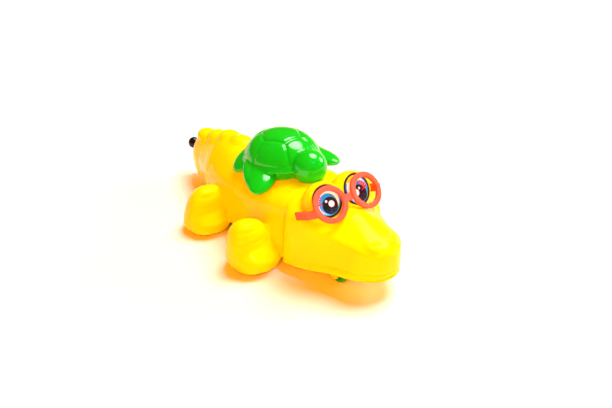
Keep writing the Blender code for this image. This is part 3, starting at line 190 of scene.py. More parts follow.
class Recipe:
    """A Geometry Nodes tree with named inputs, whose result is kept as a plain mesh."""

    def __init__(self, name):
        self.tree = bpy.data.node_groups.new(name, "GeometryNodeTree")
        self.tree.interface.new_socket("Geometry", in_out="OUTPUT", socket_type="NodeSocketGeometry")
        self.node = Wire(self.tree).node
        self.source = self.size("Geometry", "Geometry")

    def size(self, name, kind="Float"):
        """Named input of the tree, as the wire of a group input node."""
        self.tree.interface.new_socket(name, in_out="INPUT", socket_type=f"NodeSocket{kind}")
        return self.node("NodeGroupInput", out=name)

    def close(self, geometry):
        """Realize what was instanced and give it its material."""
        real = self.node("GeometryNodeRealizeInstances", {"Geometry": geometry})
        soft = self.node("GeometryNodeSetShadeSmooth", {"Geometry": real})
        look = self.size("Material", "Material")
        dressed = self.node("GeometryNodeSetMaterial", {"Geometry": soft, "Material": look})
        end = self.tree.nodes.new("NodeGroupOutput")
        self.tree.links.new(dressed.socket, end.inputs[0])

    def make(self, name, source, **values):
        """Run the tree on a mesh with its inputs set, and keep the result as a plain mesh."""
        obj = place_new(name, source)
        step = obj.modifiers.new("recipe", "NODES")
        step.node_group = self.tree
        for item in self.tree.interface.items_tree:
            if item.name in values:
                step[item.identifier] = values[item.name]
        return settle(obj)


def place_new(name, data):
    """New object in the scene."""
    obj = bpy.data.objects.new(name, data)
    bpy.context.scene.collection.objects.link(obj)
    return obj


def settle(obj):
    """Keep what an object's modifiers make of it as its own mesh."""
    bpy.context.view_layer.update()
    graph = bpy.context.evaluated_depsgraph_get()
    made = bpy.data.meshes.new_from_object(obj.evaluated_get(graph))
    obj.modifiers.clear()
    obj.data = made
    made.name = obj.name
    return obj


def seat(piece, body, slot, *nodes):
    """A piece rides on a body and stands for nodes of the frame, which it hides. The slot is not
    used.
    """
    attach(piece, body)
    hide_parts(*nodes)


def braided_cord():
    """Two crossing families of strands, on the way along and round the cord, with painted shade
    between them.
    """
    look, place = new_finish("braided_cord", {"Sheen Weight": 0.3})

    def way(name):
        return place.node("ShaderNodeAttribute", out="Fac", attribute_name=name)

    def backs(lay):
        return abs(lay.math("FRACT", lay) - 0.5)

    run, turn = way("along") / (STRAND_LENGTH * MM), way("around") * STRANDS
    left, right = backs(run + turn), backs(run - turn)
    strand = left.math("MAXIMUM", left, right) * 2.0
    fuzz = place.noise(4200.0, 3.0)
    # Lighter on the strands' crowns and darker between them, which is painted shade; the fuzz is the
    # cord's own random tone.
    tint = (strand * 0.7 + fuzz * 0.3).mix((0.46, 0.43, 0.37), (0.84, 0.82, 0.76))
    return lay_on(
        look,
        Base_Color=tint,
        Roughness=0.72 + 0.2 * fuzz,
        Normal=(strand + 0.3 * fuzz).bump(0.0001),
    )


def cord_skin(recipe, line):
    """Skin a curve as a round cord that knows the way along and round itself."""
    radius = recipe.size("Cord_radius")
    ring = recipe.node("GeometryNodeCurvePrimitiveCircle", {"Resolution": 12, "Radius": radius})

    def marked(curve, name, measure):
        way = recipe.node("GeometryNodeSplineParameter", out=measure)
        return recipe.node("GeometryNodeStoreNamedAttribute", {
            "Geometry": curve, "Name": name, "Value": way,
        })

    return recipe.node("GeometryNodeCurveToMesh", {
        "Curve": marked(line, "along", "Length"),
        "Profile Curve": marked(ring, "around", "Factor"),
        "Fill Caps": True,
    })


cord_look = braided_cord()
winding_radius = DRUM_RADIUS + GAP + CORD_RADIUS

recipe = Recipe("cord_winding")
radius = recipe.size("Radius")
spiral = recipe.node("GeometryNodeCurveSpiral", {
    "Resolution": 48,
    "Rotations": recipe.size("Turns"),
    "Start Radius": radius,
    "End Radius": radius,
    "Height": recipe.size("Height"),
})
on_drum = recipe.node("GeometryNodeTransform", {
    "Geometry": spiral,
    "Translation": recipe.size("Foot", "Vector"),
    "Rotation": recipe.size("Turn", "Vector"),
})
recipe.close(cord_skin(recipe, on_drum))

turns = CORD_TURNS - OPEN_TURN
winding = recipe.make(
    "string_winding", bpy.data.meshes.new("string_winding"),
    Turns=turns,
    Radius=winding_radius * MM,
    Height=turns * CORD_PITCH * MM,
    Foot=JOINTS["reel_spin"] + Vector((0, (CORD_TURNS / 2 - turns) * CORD_PITCH * MM, 0)),
    Turn=(-math.pi / 2, 0, 0),
    Cord_radius=CORD_RADIUS * MM,
    Material=cord_look,
)
seat(winding, "reel", "cord", "cord_winding")


# Base plate
# Flat yellow moulding that closes the shell from below, with slots for the wheels and a window
# for the gear. Eight screws hold it to the bosses of the shell and the feet of the gearbox.

def moulded_plastic(name, deep, clear, rough, fixed):
    """Glossy self-coloured plastic with a drift of tint, faint orange peel and hairline rubs."""
    look, place = new_finish(name, fixed)
    drift = place.noise(38.0, 3.0)
    peel = place.noise(520.0, 1.0)
    handling = place.noise(70.0, 4.0).smooth(0.45, 0.75)
    rub = place.stretched((260.0, 2600.0, 1400.0)).noise(1.0, 3.0).smooth(0.66, 0.80)
    return lay_on(
        look,
        Base_Color=drift.smooth(0.25, 0.75).mix(deep, clear),
        Roughness=rough + 0.08 * handling + 0.16 * rub,
        Normal=(peel - 0.25 * rub).bump(0.00003),
    )


GLOSS = {
    "Specular IOR Level": 0.13, "Specular Tint": (1.0, 0.93, 0.2, 1.0),
    "Subsurface Radius": (1.0, 0.5, 0.05), "Subsurface Scale": 0.006,
}
yellow = moulded_plastic(
    "yellow_plastic", deep=(0.92, 0.74, 0.0006), clear=(0.95, 0.78, 0.0010), rough=0.13,
    fixed=GLOSS | {"Subsurface Weight": 0.4},
)
dress(yellow, "base_plate")


# Wheels and tyres
# Green moulded wheels pressed on steel axles. The pair at the back is driven and wears black
# rubber rings. The pair under the jaw turns freely in two open lugs of the base plate.

FRONT_X = 47.5
AXLE_BORE = 1.3
DRIVE_Y = 15.2
DRIVE_WIDTH = 4.4
TYRE = 1.3
TREAD_GROOVE = 0.5
HUB = 3.0
HUB_PROUD = 0.3
RIM_WALL = 1.2
WEB_SUNK = 1.2
DRAFT = 0.2
FRONT_Y = 6.8
FRONT_WIDTH = 4.6
FRONT_HUB = 2.5
FRONT_EDGE = 0.6
FRONT_RIM = 1.6
FRONT_SUNK = 1.0
ROUNDED_EDGE = math.radians(28.0)
SHARP_EDGE = math.radians(38.0)

toy_x = JOINTS["front_axle_spin"].x - FRONT_X * MM
TO_FRAME = Matrix.Translation((toy_x, 0, 0)) @ Matrix.Scale(MM, 4)


def along(axis, origin):
    """Matrix whose local Z runs along axis from origin."""
    return Matrix.Translation(origin) @ Vector(axis).to_track_quat("Z", "Y").to_matrix().to_4x4()


def lathe(profile, steps, place):
    """Turn (radius, height) points about the local Z of place, to a ring if they start off it."""
    bm = bmesh.new()
    rows = []
    for radius, height in profile:
        row = []
        for k in range(steps if radius > 0 else 1):
            angle = math.tau * k / steps
            point = Vector((radius * math.cos(angle), radius * math.sin(angle), height))
            row.append(bm.verts.new(place @ point))
        rows.append(row)
    pairs = list(zip(rows, rows[1:]))
    if len(rows[0]) > 1:
        pairs.append((rows[-1], rows[0]))
    for low, high in pairs:
        for k in range(steps):
            n = (k + 1) % steps
            corners = [row[i % len(row)] for row, i in ((low, k), (low, n), (high, n), (high, k))]
            distinct = list(dict.fromkeys(corners))
            if len(distinct) > 2:
                bm.faces.new(distinct)
    return bm


def solid(name, *parts):
    """One object in metres, in the frame's place, from meshes in millimetres."""
    mesh = bpy.data.meshes.new(name)
    whole = bmesh.new()
    for part in parts:
        bmesh.ops.recalc_face_normals(part, faces=part.faces)
        part.to_mesh(mesh)
        part.free()
        whole.from_mesh(mesh)
    bmesh.ops.transform(whole, matrix=TO_FRAME, verts=whole.verts)
    whole.to_mesh(mesh)
    whole.free()
    return place_new(name, mesh)


def work(obj, kind, **settings):
    """Apply one modifier with its settings."""
    set_all(obj.modifiers.new(kind, kind), settings)
    return settle(obj)


def soften(obj, look, width=0.0):
    """Round the edges by width in millimetres, shade smooth and give the piece its material."""
    if width:
        work(
            obj, "BEVEL", width=width * MM, segments=3,
            limit_method="ANGLE", angle_limit=ROUNDED_EDGE,
        )
    obj.data.materials.clear()
    obj.data.materials.append(look)
    obj.data.shade_smooth()
    obj.data.set_sharp_from_angle(angle=SHARP_EDGE)
    return obj


wheel_green = moulded_plastic(
    "wheel_green", deep=(0.010, 0.42, 0.012), clear=(0.018, 0.52, 0.016), rough=0.2,
    fixed=GLOSS | {"Subsurface Weight": 0.1},
)
rubber, place = new_finish("tyre_rubber", {"Specular IOR Level": 0.3})
dust = place.noise(160.0, 4.0).smooth(0.35, 0.8)
tint = dust.mix((0.010, 0.010, 0.011), (0.035, 0.033, 0.030))
grained(rubber, tint, place.noise(3000.0), rough=0.62, spread=0.25, depth=0.00004)
drive_z = JOINTS["drive_axle_spin"].z / MM
drive_x = (JOINTS["drive_axle_spin"].x - toy_x) / MM
front_z = JOINTS["front_axle_spin"].z / MM
for side, word in ((-1, "right"), (1, "left")):
    axle = along((0, side, 0), (drive_x, side * DRIVE_Y, drive_z))
    half = DRIVE_WIDTH / 2
    rim = drive_z - TYRE - GAP
    face = [
        (rim, half), (rim - RIM_WALL, half), (rim - RIM_WALL - DRAFT, half - WEB_SUNK),
        (HUB + DRAFT, half - WEB_SUNK), (HUB, half), (AXLE_BORE, half),
    ]
    back = [(radius, -height) for radius, height in reversed(face)]
    back[:2] = [(radius, height - HUB_PROUD) for radius, height in back[:2]]
    wheel = solid(f"{word}_drive_wheel_fine", lathe(back + face, 72, axle))
    seat(soften(wheel, wheel_green, 0.18), "drive", "green_plastic", f"{word}_drive_wheel")
    tread = [
        (drive_z - TYRE, -half), (drive_z - 0.4, -half), (drive_z, -half + 0.5),
        (drive_z, -TREAD_GROOVE), (drive_z - TREAD_GROOVE, 0),
    ]
    tread += [(radius, -height) for radius, height in reversed(tread[:-1])]
    tyre = solid(f"{word}_drive_tyre_fine", lathe(tread, 84, axle))
    seat(soften(tyre, rubber, 0.1), "drive", "tyre_rubber", f"{word}_drive_tyre")
    axle = along((0, side, 0), (FRONT_X, side * FRONT_Y, front_z))
    half = FRONT_WIDTH / 2
    wheel = solid(f"{word}_front_wheel_fine", lathe([
        (AXLE_BORE, -half), (front_z - FRONT_EDGE, -half), (front_z, -half + FRONT_EDGE),
        (front_z, half - FRONT_EDGE), (front_z - FRONT_EDGE, half), (front_z - FRONT_RIM, half),
        (front_z - FRONT_RIM - 0.3, half - FRONT_SUNK), (FRONT_HUB + DRAFT, half - FRONT_SUNK),
        (FRONT_HUB, half), (AXLE_BORE, half),
    ], 72, axle))
    seat(soften(wheel, wheel_green, 0.2), "front", "green_plastic", f"{word}_front_wheel")


# Body shell
# The crocodile itself, one thin injection moulding in yellow plastic, open below, with four hollow
# legs. Head, back, tail crest and legs run into each other with a polished mould's soft fillets.

WALL = 1.6
TAIL_END_X = -72.6
SNOUT_TIP_X = 72.4
SNOUT_ROUND = 12.0
TAIL_ROUND = 8.5
CHEEK_X = 27.4
RIM_HEIGHT = 5.0
CHIN_HEIGHT = 10.0
TRUNK = 22.5
CHEEK = 23.0
SNOUT = 15.0
TAIL = 11.0
BACK = 34.8
HEAD = 37.4
CORD_Z = 15.2
FINE = 0.62

CREST_FIRST_X = -62.6
CREST_PITCH = 9.6
CREST_COUNT = 4
FOLD_DEPTH = 0.7
TRUNK_SOFT = 5.0
SNOUT_SOFT = 1.4

# Half section of the body at each x: half width at the rim, shoulder edge, crown edge and top line
Station = namedtuple("Station", "x rim shoulder shoulder_z crown crown_z top")
STATIONS = [Station(*row) for row in (
    (TAIL_END_X, 4.6, 5.6, 14.0, 2.6, 20.4, 21.2),
    (TAIL_END_X + 7.0, 6.0, 8.0, 16.0, 3.4, 24.0, 24.8),
    (TAIL_END_X + 18.0, TAIL - 1.8, TAIL, 18.5, 4.8, 27.4, 28.4),
    (-40.0, TRUNK - 6.5, TRUNK - 5.5, 21.0, 7.4, BACK - 3.0, BACK - 1.6),
    (-20.0, TRUNK - 1.5, TRUNK - 1.8, 24.0, 11.8, BACK - 1.8, BACK - 0.5),
    (0.0, TRUNK, TRUNK - 1.3, 25.8, 13.2, BACK - 1.4, BACK),
    (CHEEK_X - 2.6, TRUNK - 2.0, TRUNK - 2.4, 30.4, 12.6, HEAD - 1.6, HEAD - 0.7),
    (CHEEK_X, CHEEK, CHEEK - 1.5, 29.8, 12.6, HEAD - 1.2, HEAD - 0.3),
    (38.0, CHEEK - 1.5, CHEEK - 4.6, 28.6, 11.0, HEAD - 2.0, HEAD - 0.6),
    (44.0, CHEEK - 3.1, CHEEK - 6.3, 26.3, 4.8, HEAD - 4.8, HEAD - 3.9),
    (50.0, SNOUT + 2.9, SNOUT - 0.4, 25.7, 4.4, HEAD - 5.4, HEAD - 4.5),
    (SNOUT_TIP_X - 13.0, SNOUT, SNOUT - 2.9, 24.8, 5.0, 28.4, 29.1),
    (SNOUT_TIP_X - 7.0, SNOUT - 2.4, SNOUT - 3.2, 24.6, 5.6, 26.9, 27.4),
    (SNOUT_TIP_X, SNOUT - 4.4, SNOUT - 4.0, 23.8, 5.4, 26.0, 26.4),
)]


def through(xs, ys, x):
    """Smooth curve through points that does not overshoot them."""
    x = min(max(x, xs[0]), xs[-1])
    slopes = [(ys[i + 1] - ys[i]) / (xs[i + 1] - xs[i]) for i in range(len(xs) - 1)]
    ways = [slopes[0]]
    ways += [0.0 if a * b <= 0 else 2 * a * b / (a + b) for a, b in zip(slopes, slopes[1:])]
    ways.append(slopes[-1])
    i = max(k for k in range(len(xs) - 1) if xs[k] <= x)
    width = xs[i + 1] - xs[i]
    t = (x - xs[i]) / width
    rise = ys[i] * (1 + 2 * t) * (1 - t) ** 2 + ys[i + 1] * t * t * (3 - 2 * t)
    return rise + width * t * (1 - t) * (ways[i] * (1 - t) - ways[i + 1] * t)


def station(field, x):
    return through([s.x for s in STATIONS], [getattr(s, field) for s in STATIONS], x)


def rim_z(x):
    """The lower rim, level along the trunk and climbing along the jaw."""
    xs = [CHEEK_X, CHEEK_X + 15.0, SNOUT_TIP_X - 16.0, SNOUT_TIP_X]
    return through(xs, [RIM_HEIGHT, RIM_HEIGHT + 2.6, CHIN_HEIGHT, CHIN_HEIGHT + 0.3], x)


def blunt(x):
    """1 along the body, falling towards the round ends."""
    front = (x - (SNOUT_TIP_X - SNOUT_ROUND)) / SNOUT_ROUND
    rear = (TAIL_END_X + TAIL_ROUND - x) / TAIL_ROUND
    t = min(0.985, max(0.0, front, rear))
    return (1 - t ** 2.2) ** (1 / 2.2)


def fold(x):
    """Shallow folds across the tail, one to each scute of the crest."""
    way = (x - CREST_FIRST_X) / CREST_PITCH + 0.5
    if way < 0 or way > CREST_COUNT - 0.5:
        return 0.0
    return FOLD_DEPTH * (math.sin(math.pi * (way % 1.0)) ** 0.6 - 1.0)


def soft_corner(before, corner, after, reach, steps):
    """Points of a corner rounded by a curve that starts and ends at reach from it."""
    a = corner + (before - corner).normalized() * min(reach, (before - corner).length * 0.48)
    b = corner + (after - corner).normalized() * min(reach, (after - corner).length * 0.48)
    shares = [k / steps for k in range(steps + 1)]
    return [a * (1 - t) ** 2 + corner * 2 * t * (1 - t) + b * t * t for t in shares]


def half_section(x, inset=0.0):
    """Half of the section at x from the rim up to the top line, as (y, z) points."""
    shrink = blunt(x)
    middle = 15.0 if x < 0 else 19.0
    wave = fold(x) if inset <= 0.0 else 0.0
    waves = {"rim": wave, "shoulder": 0.65 * wave, "crown": 0.1 * wave}
    widths = [max(0.5, (station(n, x) + waves[n]) * shrink - inset) for n in waves]
    heights = [station(n, x) for n in ("shoulder_z", "crown_z", "top")]
    heights = [middle + (h - middle) * (0.35 + 0.65 * shrink) - inset for h in heights]
    rim, shoulder, crown, top = map(Vector, zip((*widths, 0.0), (rim_z(x), *heights)))
    soft = through([CHEEK_X, CHEEK_X + 20.0], [TRUNK_SOFT, SNOUT_SOFT], x) * (0.4 + 0.6 * shrink)
    side = [rim, rim.lerp(shoulder, 0.55)] + soft_corner(rim, shoulder, crown, soft, 8)
    return side + soft_corner(shoulder, crown, top, soft, 7) + [top]


def top_z(x, y=0.0):
    """Height of the body's surface over a point."""
    half = half_section(x)
    for low, high in zip(half[::-1], half[-2::-1]):
        if low.x <= abs(y) <= high.x and high.x > low.x:
            return low.y + (high.y - low.y) * (abs(y) - low.x) / (high.x - low.x)
    return half[0].y


def loft(rings):
    """Skin a row of rings with equal counts of points, closed at both ends."""
    bm = bmesh.new()
    rows = [[bm.verts.new(p) for p in ring] for ring in rings]
    count = len(rows[0])
    for a, b in zip(rows, rows[1:]):
        for k in range(count):
            n = (k + 1) % count
            bm.faces.new((a[k], a[n], b[n], b[k]))
    bm.faces.new(rows[0][::-1])
    bm.faces.new(rows[-1])
    return bm


def body_loft(inset=0.0, drop=0.0, step=1.0):
    """Closed body solid, made smaller by inset, with its floor carried down by drop."""
    low, high = TAIL_END_X + max(0.05, inset), SNOUT_TIP_X - max(0.15, inset)
    ends = [low + 0.05 * 1.6 ** k for k in range(9)] + [high - 0.05 * 1.6 ** k for k in range(9)]
    middle = [low + 3.0 + step * k for k in range(int((high - low - 6.0) / step) + 1)]
    rings = []
    for x in sorted({low, high, *ends, *middle}):
        half = half_section(x, inset)
        if drop:
            half = [half[0] - Vector((0, drop))] + half
        rings.append([(x, -p.x, p.y) for p in half] + [(x, p.x, p.y) for p in half[-2::-1]])
    return loft(rings)


Leg = namedtuple("Leg", "x y side top length width toe lean")
LEGS = [Leg(x, side * y, side, *rest) for side in (-1, 1) for x, y, *rest in (
    (14.5, TRUNK + 7.9, 24.0, 12.0, 10.6, 1.0, -2.5),
    (-24.6, TRUNK + 5.9, 21.4, 11.2, 10.2, 0.95, 1.8),
)]
LEG_LEVELS = 41
LEG_POINTS = 72
LEG_INWARD = 1.35
LEG_DOME_FRONT = 0.54
LEG_DOME_RISE = (0.27, 0.48)
LEG_PROFILE = (
    (0.0, 0.88), (0.06, 0.975), (0.14, 0.995), (0.28, 0.985), (0.36, 0.955), (0.40, 0.95),
    (0.55, 0.89), (0.70, 0.79), (0.84, 0.62), (0.95, 0.36), (1.0, 0.02),
)
FOOT_BOTTOM = 1.6
TOE_DEPTH = 0.9
TOE_TURN = math.radians(48.0)
TOE_HEIGHT = 0.40
OPEN_BELOW = 8.0


def leg_body(leg, inset=0.0):
    """Dome that falls back at the front, over a longer foot with three toes."""
    shares, reaches = zip(*LEG_PROFILE)
    height = leg.top - FOOT_BOTTOM - inset
    rings = []
    for level in range(LEG_LEVELS):
        share = level / LEG_LEVELS
        reach = through(shares, reaches, share)
        z = FOOT_BOTTOM + share * height - (OPEN_BELOW if inset and level == 0 else 0.0)
        dome = through(LEG_DOME_RISE, (0.0, 1.0), share)
        front = leg.toe + (LEG_DOME_FRONT - leg.toe) * dome
        middle = leg.y - leg.side * leg.lean * share
        ring = []
        for k in range(LEG_POINTS):
            angle = math.tau * k / LEG_POINTS
            ahead, aside = math.cos(angle), math.sin(angle)
            toe = angle - leg.side * TOE_TURN
            low = 0.0 if inset else max(0.0, 1.0 - share / TOE_HEIGHT) ** 0.5
            grip = min(1.0, low * max(0.0, math.cos(toe) + 0.2))
            toes = TOE_DEPTH * grip * (abs(math.cos(2.5 * toe)) ** 0.7 - 0.85)
            forward = 1.0 + (front - 1.0) * through((-0.4, 0.65), (0.0, 1.0), ahead)
            narrow = dome * min(1.0, max(0.0, (ahead + 0.3) / 0.9))
            inward = LEG_INWARD + (1.0 - LEG_INWARD) * narrow if aside * leg.side < 0 else 1.0
            blend = 1.0 + (inward - 1.0) * min(1.0, abs(aside) * 2.0)
            length = (leg.length * forward - inset) * reach + toes
            width = (leg.width * blend - inset) * reach + toes
            ring.append((leg.x + length * ahead, middle + width * aside, z))
        rings.append(ring)
    return loft(rings)


EYE_TILT = 33.0
EYE_TURN = 6.0
EYE_RADIUS = 9.1
STICKER_RADIUS = 7.2
STICKER_THICK = 0.4


def eye_look(side, tilt):
    """Direction one eye looks in, raised by tilt and turned a little outwards."""
    tilt = math.radians(tilt)
    turn = math.radians(EYE_TURN) * side
    return Vector((math.cos(tilt) * math.cos(turn), math.sin(turn), math.sin(tilt) * math.cos(turn)))


def eye_place(side):
    """Frame of one eye: local Z looks out of it, from the middle of the sticker's face."""
    low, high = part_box(("right" if side < 0 else "left") + "_eye_sticker")
    look = eye_look(side, EYE_TILT)
    middle = ((low + high) / 2 - Vector((toy_x, 0, 0))) / MM
    return along(look, middle + look * STICKER_THICK / 2)


def eye_bulge(side, inset=0.0):
    r = EYE_RADIUS - inset
    flat = STICKER_RADIUS + 1.0 - inset
    front = -STICKER_THICK - GAP - inset if inset else 0.0
    profile = [(0.0, front), (flat, front), (r - 0.5, -1.6 - inset), (r, -3.4 - inset)]
    profile += [(r - 0.3, -6.5), (r - 1.8, -9.6), (r - 4.6, -11.8 + inset), (0.0, -12.8 + inset)]
    return lathe(profile, 64, eye_place(side))


def ball(centre, radii, turn=Matrix.Identity(3)):
    """Ellipsoid with the given half axes."""
    bm = bmesh.new()
    bmesh.ops.create_icosphere(bm, subdivisions=4, radius=1.0)
    shape = Matrix.Translation(centre) @ turn.to_4x4() @ Matrix.Diagonal((*radii, 1.0))
    bmesh.ops.transform(bm, matrix=shape, verts=bm.verts)
    return bm


def step_up(value, low, high):
    """0 below low, 1 above high, soft between, for arrays."""
    t = np.clip((value - low) / (high - low), 0.0, 1.0)
    return t * t * (3 - 2 * t)


def near(distance, width):
    """1 at no distance and falling away over width, for arrays."""
    return np.exp(-(distance / width) ** 2)


def places_of(obj):
    """Vertices of a piece in millimetres of the toy."""
    places = np.empty(len(obj.data.vertices) * 3)
    obj.data.vertices.foreach_get("co", places)
    return (places.reshape(-1, 3) - (toy_x, 0, 0)) / MM


def flow(obj, rounds, where=None):
    """Let a skin flow smooth, all of it or as far as the rule where(x, y, z) says, 0 to 1."""
    if where:
        group = obj.vertex_groups.new(name="flow")
        for index, weight in enumerate(where(*places_of(obj).T)):
            group.add([index], float(weight), "REPLACE")
    work(obj, "SMOOTH", factor=0.5, iterations=rounds, vertex_group="flow" if where else "")
    obj.vertex_groups.clear()


def fuse(obj, voxel, rounds):
    """Grow overlapping solids into one skin and let it flow smooth."""
    flow(work(obj, "REMESH", mode="VOXEL", voxel_size=voxel * MM), rounds)


def cut(obj, tool):
    """Cut one closed mesh by another, which then goes."""
    work(obj, "BOOLEAN", operation="DIFFERENCE", solver="MANIFOLD", object=tool)
    bpy.data.objects.remove(tool, do_unlink=True)


def press(obj, rule):
    """Move each vertex along its normal by rule(places, normals), in millimetres of the toy."""
    mesh = obj.data
    places = places_of(obj)
    normals = np.empty(len(mesh.vertices) * 3, np.float32)
    mesh.vertex_normals.foreach_get("vector", normals)
    normals = normals.reshape(-1, 3)
    moved = places + normals * rule(places, normals)[:, None]
    mesh.vertices.foreach_set("co", (moved * MM + (toy_x, 0, 0)).ravel())
    mesh.update()


recipe = Recipe("tail_crest")
radius = recipe.size("Radius")
scute = recipe.node("GeometryNodeMeshUVSphere", {"Segments": 32, "Rings": 20, "Radius": radius})
recipe.close(recipe.node("GeometryNodeInstanceOnPoints", {
    "Points": recipe.source, "Instance": scute, "Scale": recipe.size("Shape", "Vector"),
}))

SCUTE = (6.0, 5.2, 3.2)
SCUTE_SUNK = 1.2
crest_xs = [CREST_FIRST_X + k * CREST_PITCH for k in range(CREST_COUNT)]
crest_line = [TO_FRAME @ Vector((x, 0, top_z(x) - SCUTE_SUNK)) for x in crest_xs]
crest_mesh = bpy.data.meshes.new("crest")
crest_mesh.from_pydata(crest_line, [], [])
crest = recipe.make("crest", crest_mesh, Radius=MM, Shape=SCUTE, Material=yellow)

NOSTRIL_X = SNOUT_TIP_X - 7.8
NOSTRIL_Y = 4.5
NOSTRIL_SUNK = 2.2
NOSTRIL_MOUND = (5.2, 4.2, 2.7)
nostril_z = top_z(NOSTRIL_X, NOSTRIL_Y) - NOSTRIL_SUNK
mounds = [ball((NOSTRIL_X, s * NOSTRIL_Y, nostril_z), NOSTRIL_MOUND) for s in (-1, 1)]
shell = solid(
    "body_shell_fine", body_loft(), *[leg_body(leg) for leg in LEGS],
    *[eye_bulge(s) for s in (-1, 1)], *mounds,
)
whole = bmesh.new()
whole.from_mesh(shell.data)
whole.from_mesh(crest.data)
whole.to_mesh(shell.data)
whole.free()
bpy.data.objects.remove(crest, do_unlink=True)
fuse(shell, FINE, rounds=2)
# Softer behind the snout, along the tail's ridge, and where the neck meets the cheeks
flow(shell, 6, lambda x, y, z: step_up(CHEEK_X + 12.0 - x, 0.0, 8.0))
flow(shell, 14, lambda x, y, z: step_up(-28.0 - x, 0.0, 6.0) * step_up(z, 20.0, 24.0))
flow(shell, 16, lambda x, y, z: near(x - CHEEK_X + 1.5, 3.0) * step_up(31.0 - z, 0.0, 3.0))

LIP_HEIGHT = 3.8
LIP_START_X = 34.0
LIP_DEPTH = 0.34
CHIN_START_X = SNOUT_TIP_X - 14.0
CHIN_BACK = 0.8
NECK_X = 23.6
NECK_DEPTH = 0.25
CREASES = (0.64, 0.86)
CREASE_DEPTH = 0.36
LINE_WIDTH = 0.6


def mould_detail(places, normals):
    """Lip line over a chin that falls back, groove behind the head, nostrils and creased legs."""
    x, y, z = places.T
    rise = z - np.interp(x, np.arange(-80, 81), [rim_z(v) for v in range(-80, 81)])
    upright = step_up(0.75 - np.abs(normals[:, 2]), 0.0, 0.3)
    side = step_up(x, LIP_START_X, LIP_START_X + 12.0) * upright
    moved = -LIP_DEPTH * side * near(rise - LIP_HEIGHT, LINE_WIDTH)
    chin = step_up(x, CHIN_START_X, SNOUT_TIP_X - 2.0) * step_up(LIP_HEIGHT - rise, 0.2, 3.4)
    moved -= CHIN_BACK * side * chin
    moved -= NECK_DEPTH * near(x - NECK_X, 0.8) * step_up(z, 28.0, 32.0)
    for s in (-1, 1):
        apart = np.hypot((x - NOSTRIL_X - 1.4) / 1.7, (y - s * (NOSTRIL_Y + 0.4)) / 1.2)
        moved -= near(apart, 1.0) * (z > 22.0)
    for leg in LEGS:
        ahead, out = x - leg.x, (y - leg.y) * leg.side
        on_leg = step_up(ahead, -2.0, 4.0) * (ahead < leg.length * 1.2)
        on_leg *= step_up(out + leg.width, 4.0, 8.0)
        for share in CREASES:
            bow = share * (leg.top - FOOT_BOTTOM) + FOOT_BOTTOM - 0.012 * ahead ** 2
            moved -= CREASE_DEPTH * on_leg * near(z - bow, LINE_WIDTH)
    return moved


press(shell, mould_detail)

hollow = solid(
    "hollow", body_loft(WALL, drop=12.0, step=2.0), *[leg_body(leg, WALL) for leg in LEGS],
    *[eye_bulge(s, WALL) for s in (-1, 1)],
)
fuse(hollow, voxel=1.5, rounds=3)
BOSSES = [(x, s * y) for x, y in ((-46.0, 7.0), (31.0, 15.7)) for s in (-1, 1)]
BOSS_RADIUS = 2.9
BASE_PLATE = 1.6
SCREW_RADIUS = 0.95
POST_XS = (-12.0, 10.0)
POST_HOLE = BOSS_RADIUS - 0.1
ABOVE_ALL = 60.0
UP = (0, 0, 1)


def rod(axis, origin, radius, low, high, steps=28):
    return lathe([(0, low), (radius, low), (radius, high), (0, high)], steps, along(axis, origin))


bosses, holes = [], []
for x, y in BOSSES:
    bearing = rim_z(x + BOSS_RADIUS) + BASE_PLATE + GAP
    bosses.append(rod(UP, (x, y, 0), BOSS_RADIUS, bearing, ABOVE_ALL))
    holes.append(rod(UP, (x, y, 0), SCREW_RADIUS + GAP, -1.0, rim_z(x) + BASE_PLATE + 10.0))
cut(hollow, solid("bosses", *bosses))
cut(shell, hollow)
holes.append(rod((1, 0, 0), (0, 0, CORD_Z), CORD_RADIUS + GAP, TAIL_END_X - 5.0, TAIL_END_X + 14.0))
for side in (-1, 1):
    eye = eye_place(side)
    look, seat_depth = eye.to_3x3().col[2], STICKER_THICK + GAP
    holes.append(rod(look, eye.translation, STICKER_RADIUS + GAP, -seat_depth, 14.0, 96))
wheel_side = DRIVE_Y + DRIVE_WIDTH / 2 + GAP
holes.append(rod((0, 1, 0), (drive_x, 0, drive_z), drive_z + GAP, -wheel_side, wheel_side, 96))
holes += [rod(UP, (x, 0, 0), POST_HOLE, 28.0, ABOVE_ALL) for x in POST_XS]
for hole in holes:
    cut(shell, solid("hole", hole))
seat(soften(shell, yellow), "toy", "yellow_plastic", "body_shell")


# Turtle
# Green turtle with a plated shell, moulded in one hollow piece with its head and flippers.
# Two posts under it, left out here, pass through the crocodile's back and are screwed from inside.

TURTLE_X = -2.0
TURTLE_LENGTH = 18.6
TURTLE_HALF_WIDTH = 16.4
TURTLE_RISE = 12.7
TURTLE_BRIM = 2.6
TURTLE_TILT = 6.0
TURTLE_HEAD_X = 17.8
TURTLE_HEAD_Z = BACK + 6.4
TURTLE_HEAD_RADIUS = 7.8
TURTLE_WALL = 1.8
TURTLE_FINE = 0.42
DOME_FOOT = -9.0
DOME_LEVELS = 24
DOME_POINTS = 96

turtle_place = Matrix.Translation((TURTLE_X, 0, BACK + TURTLE_BRIM + 0.9))
turtle_place @= Matrix.Rotation(math.radians(-TURTLE_TILT), 4, "Y")


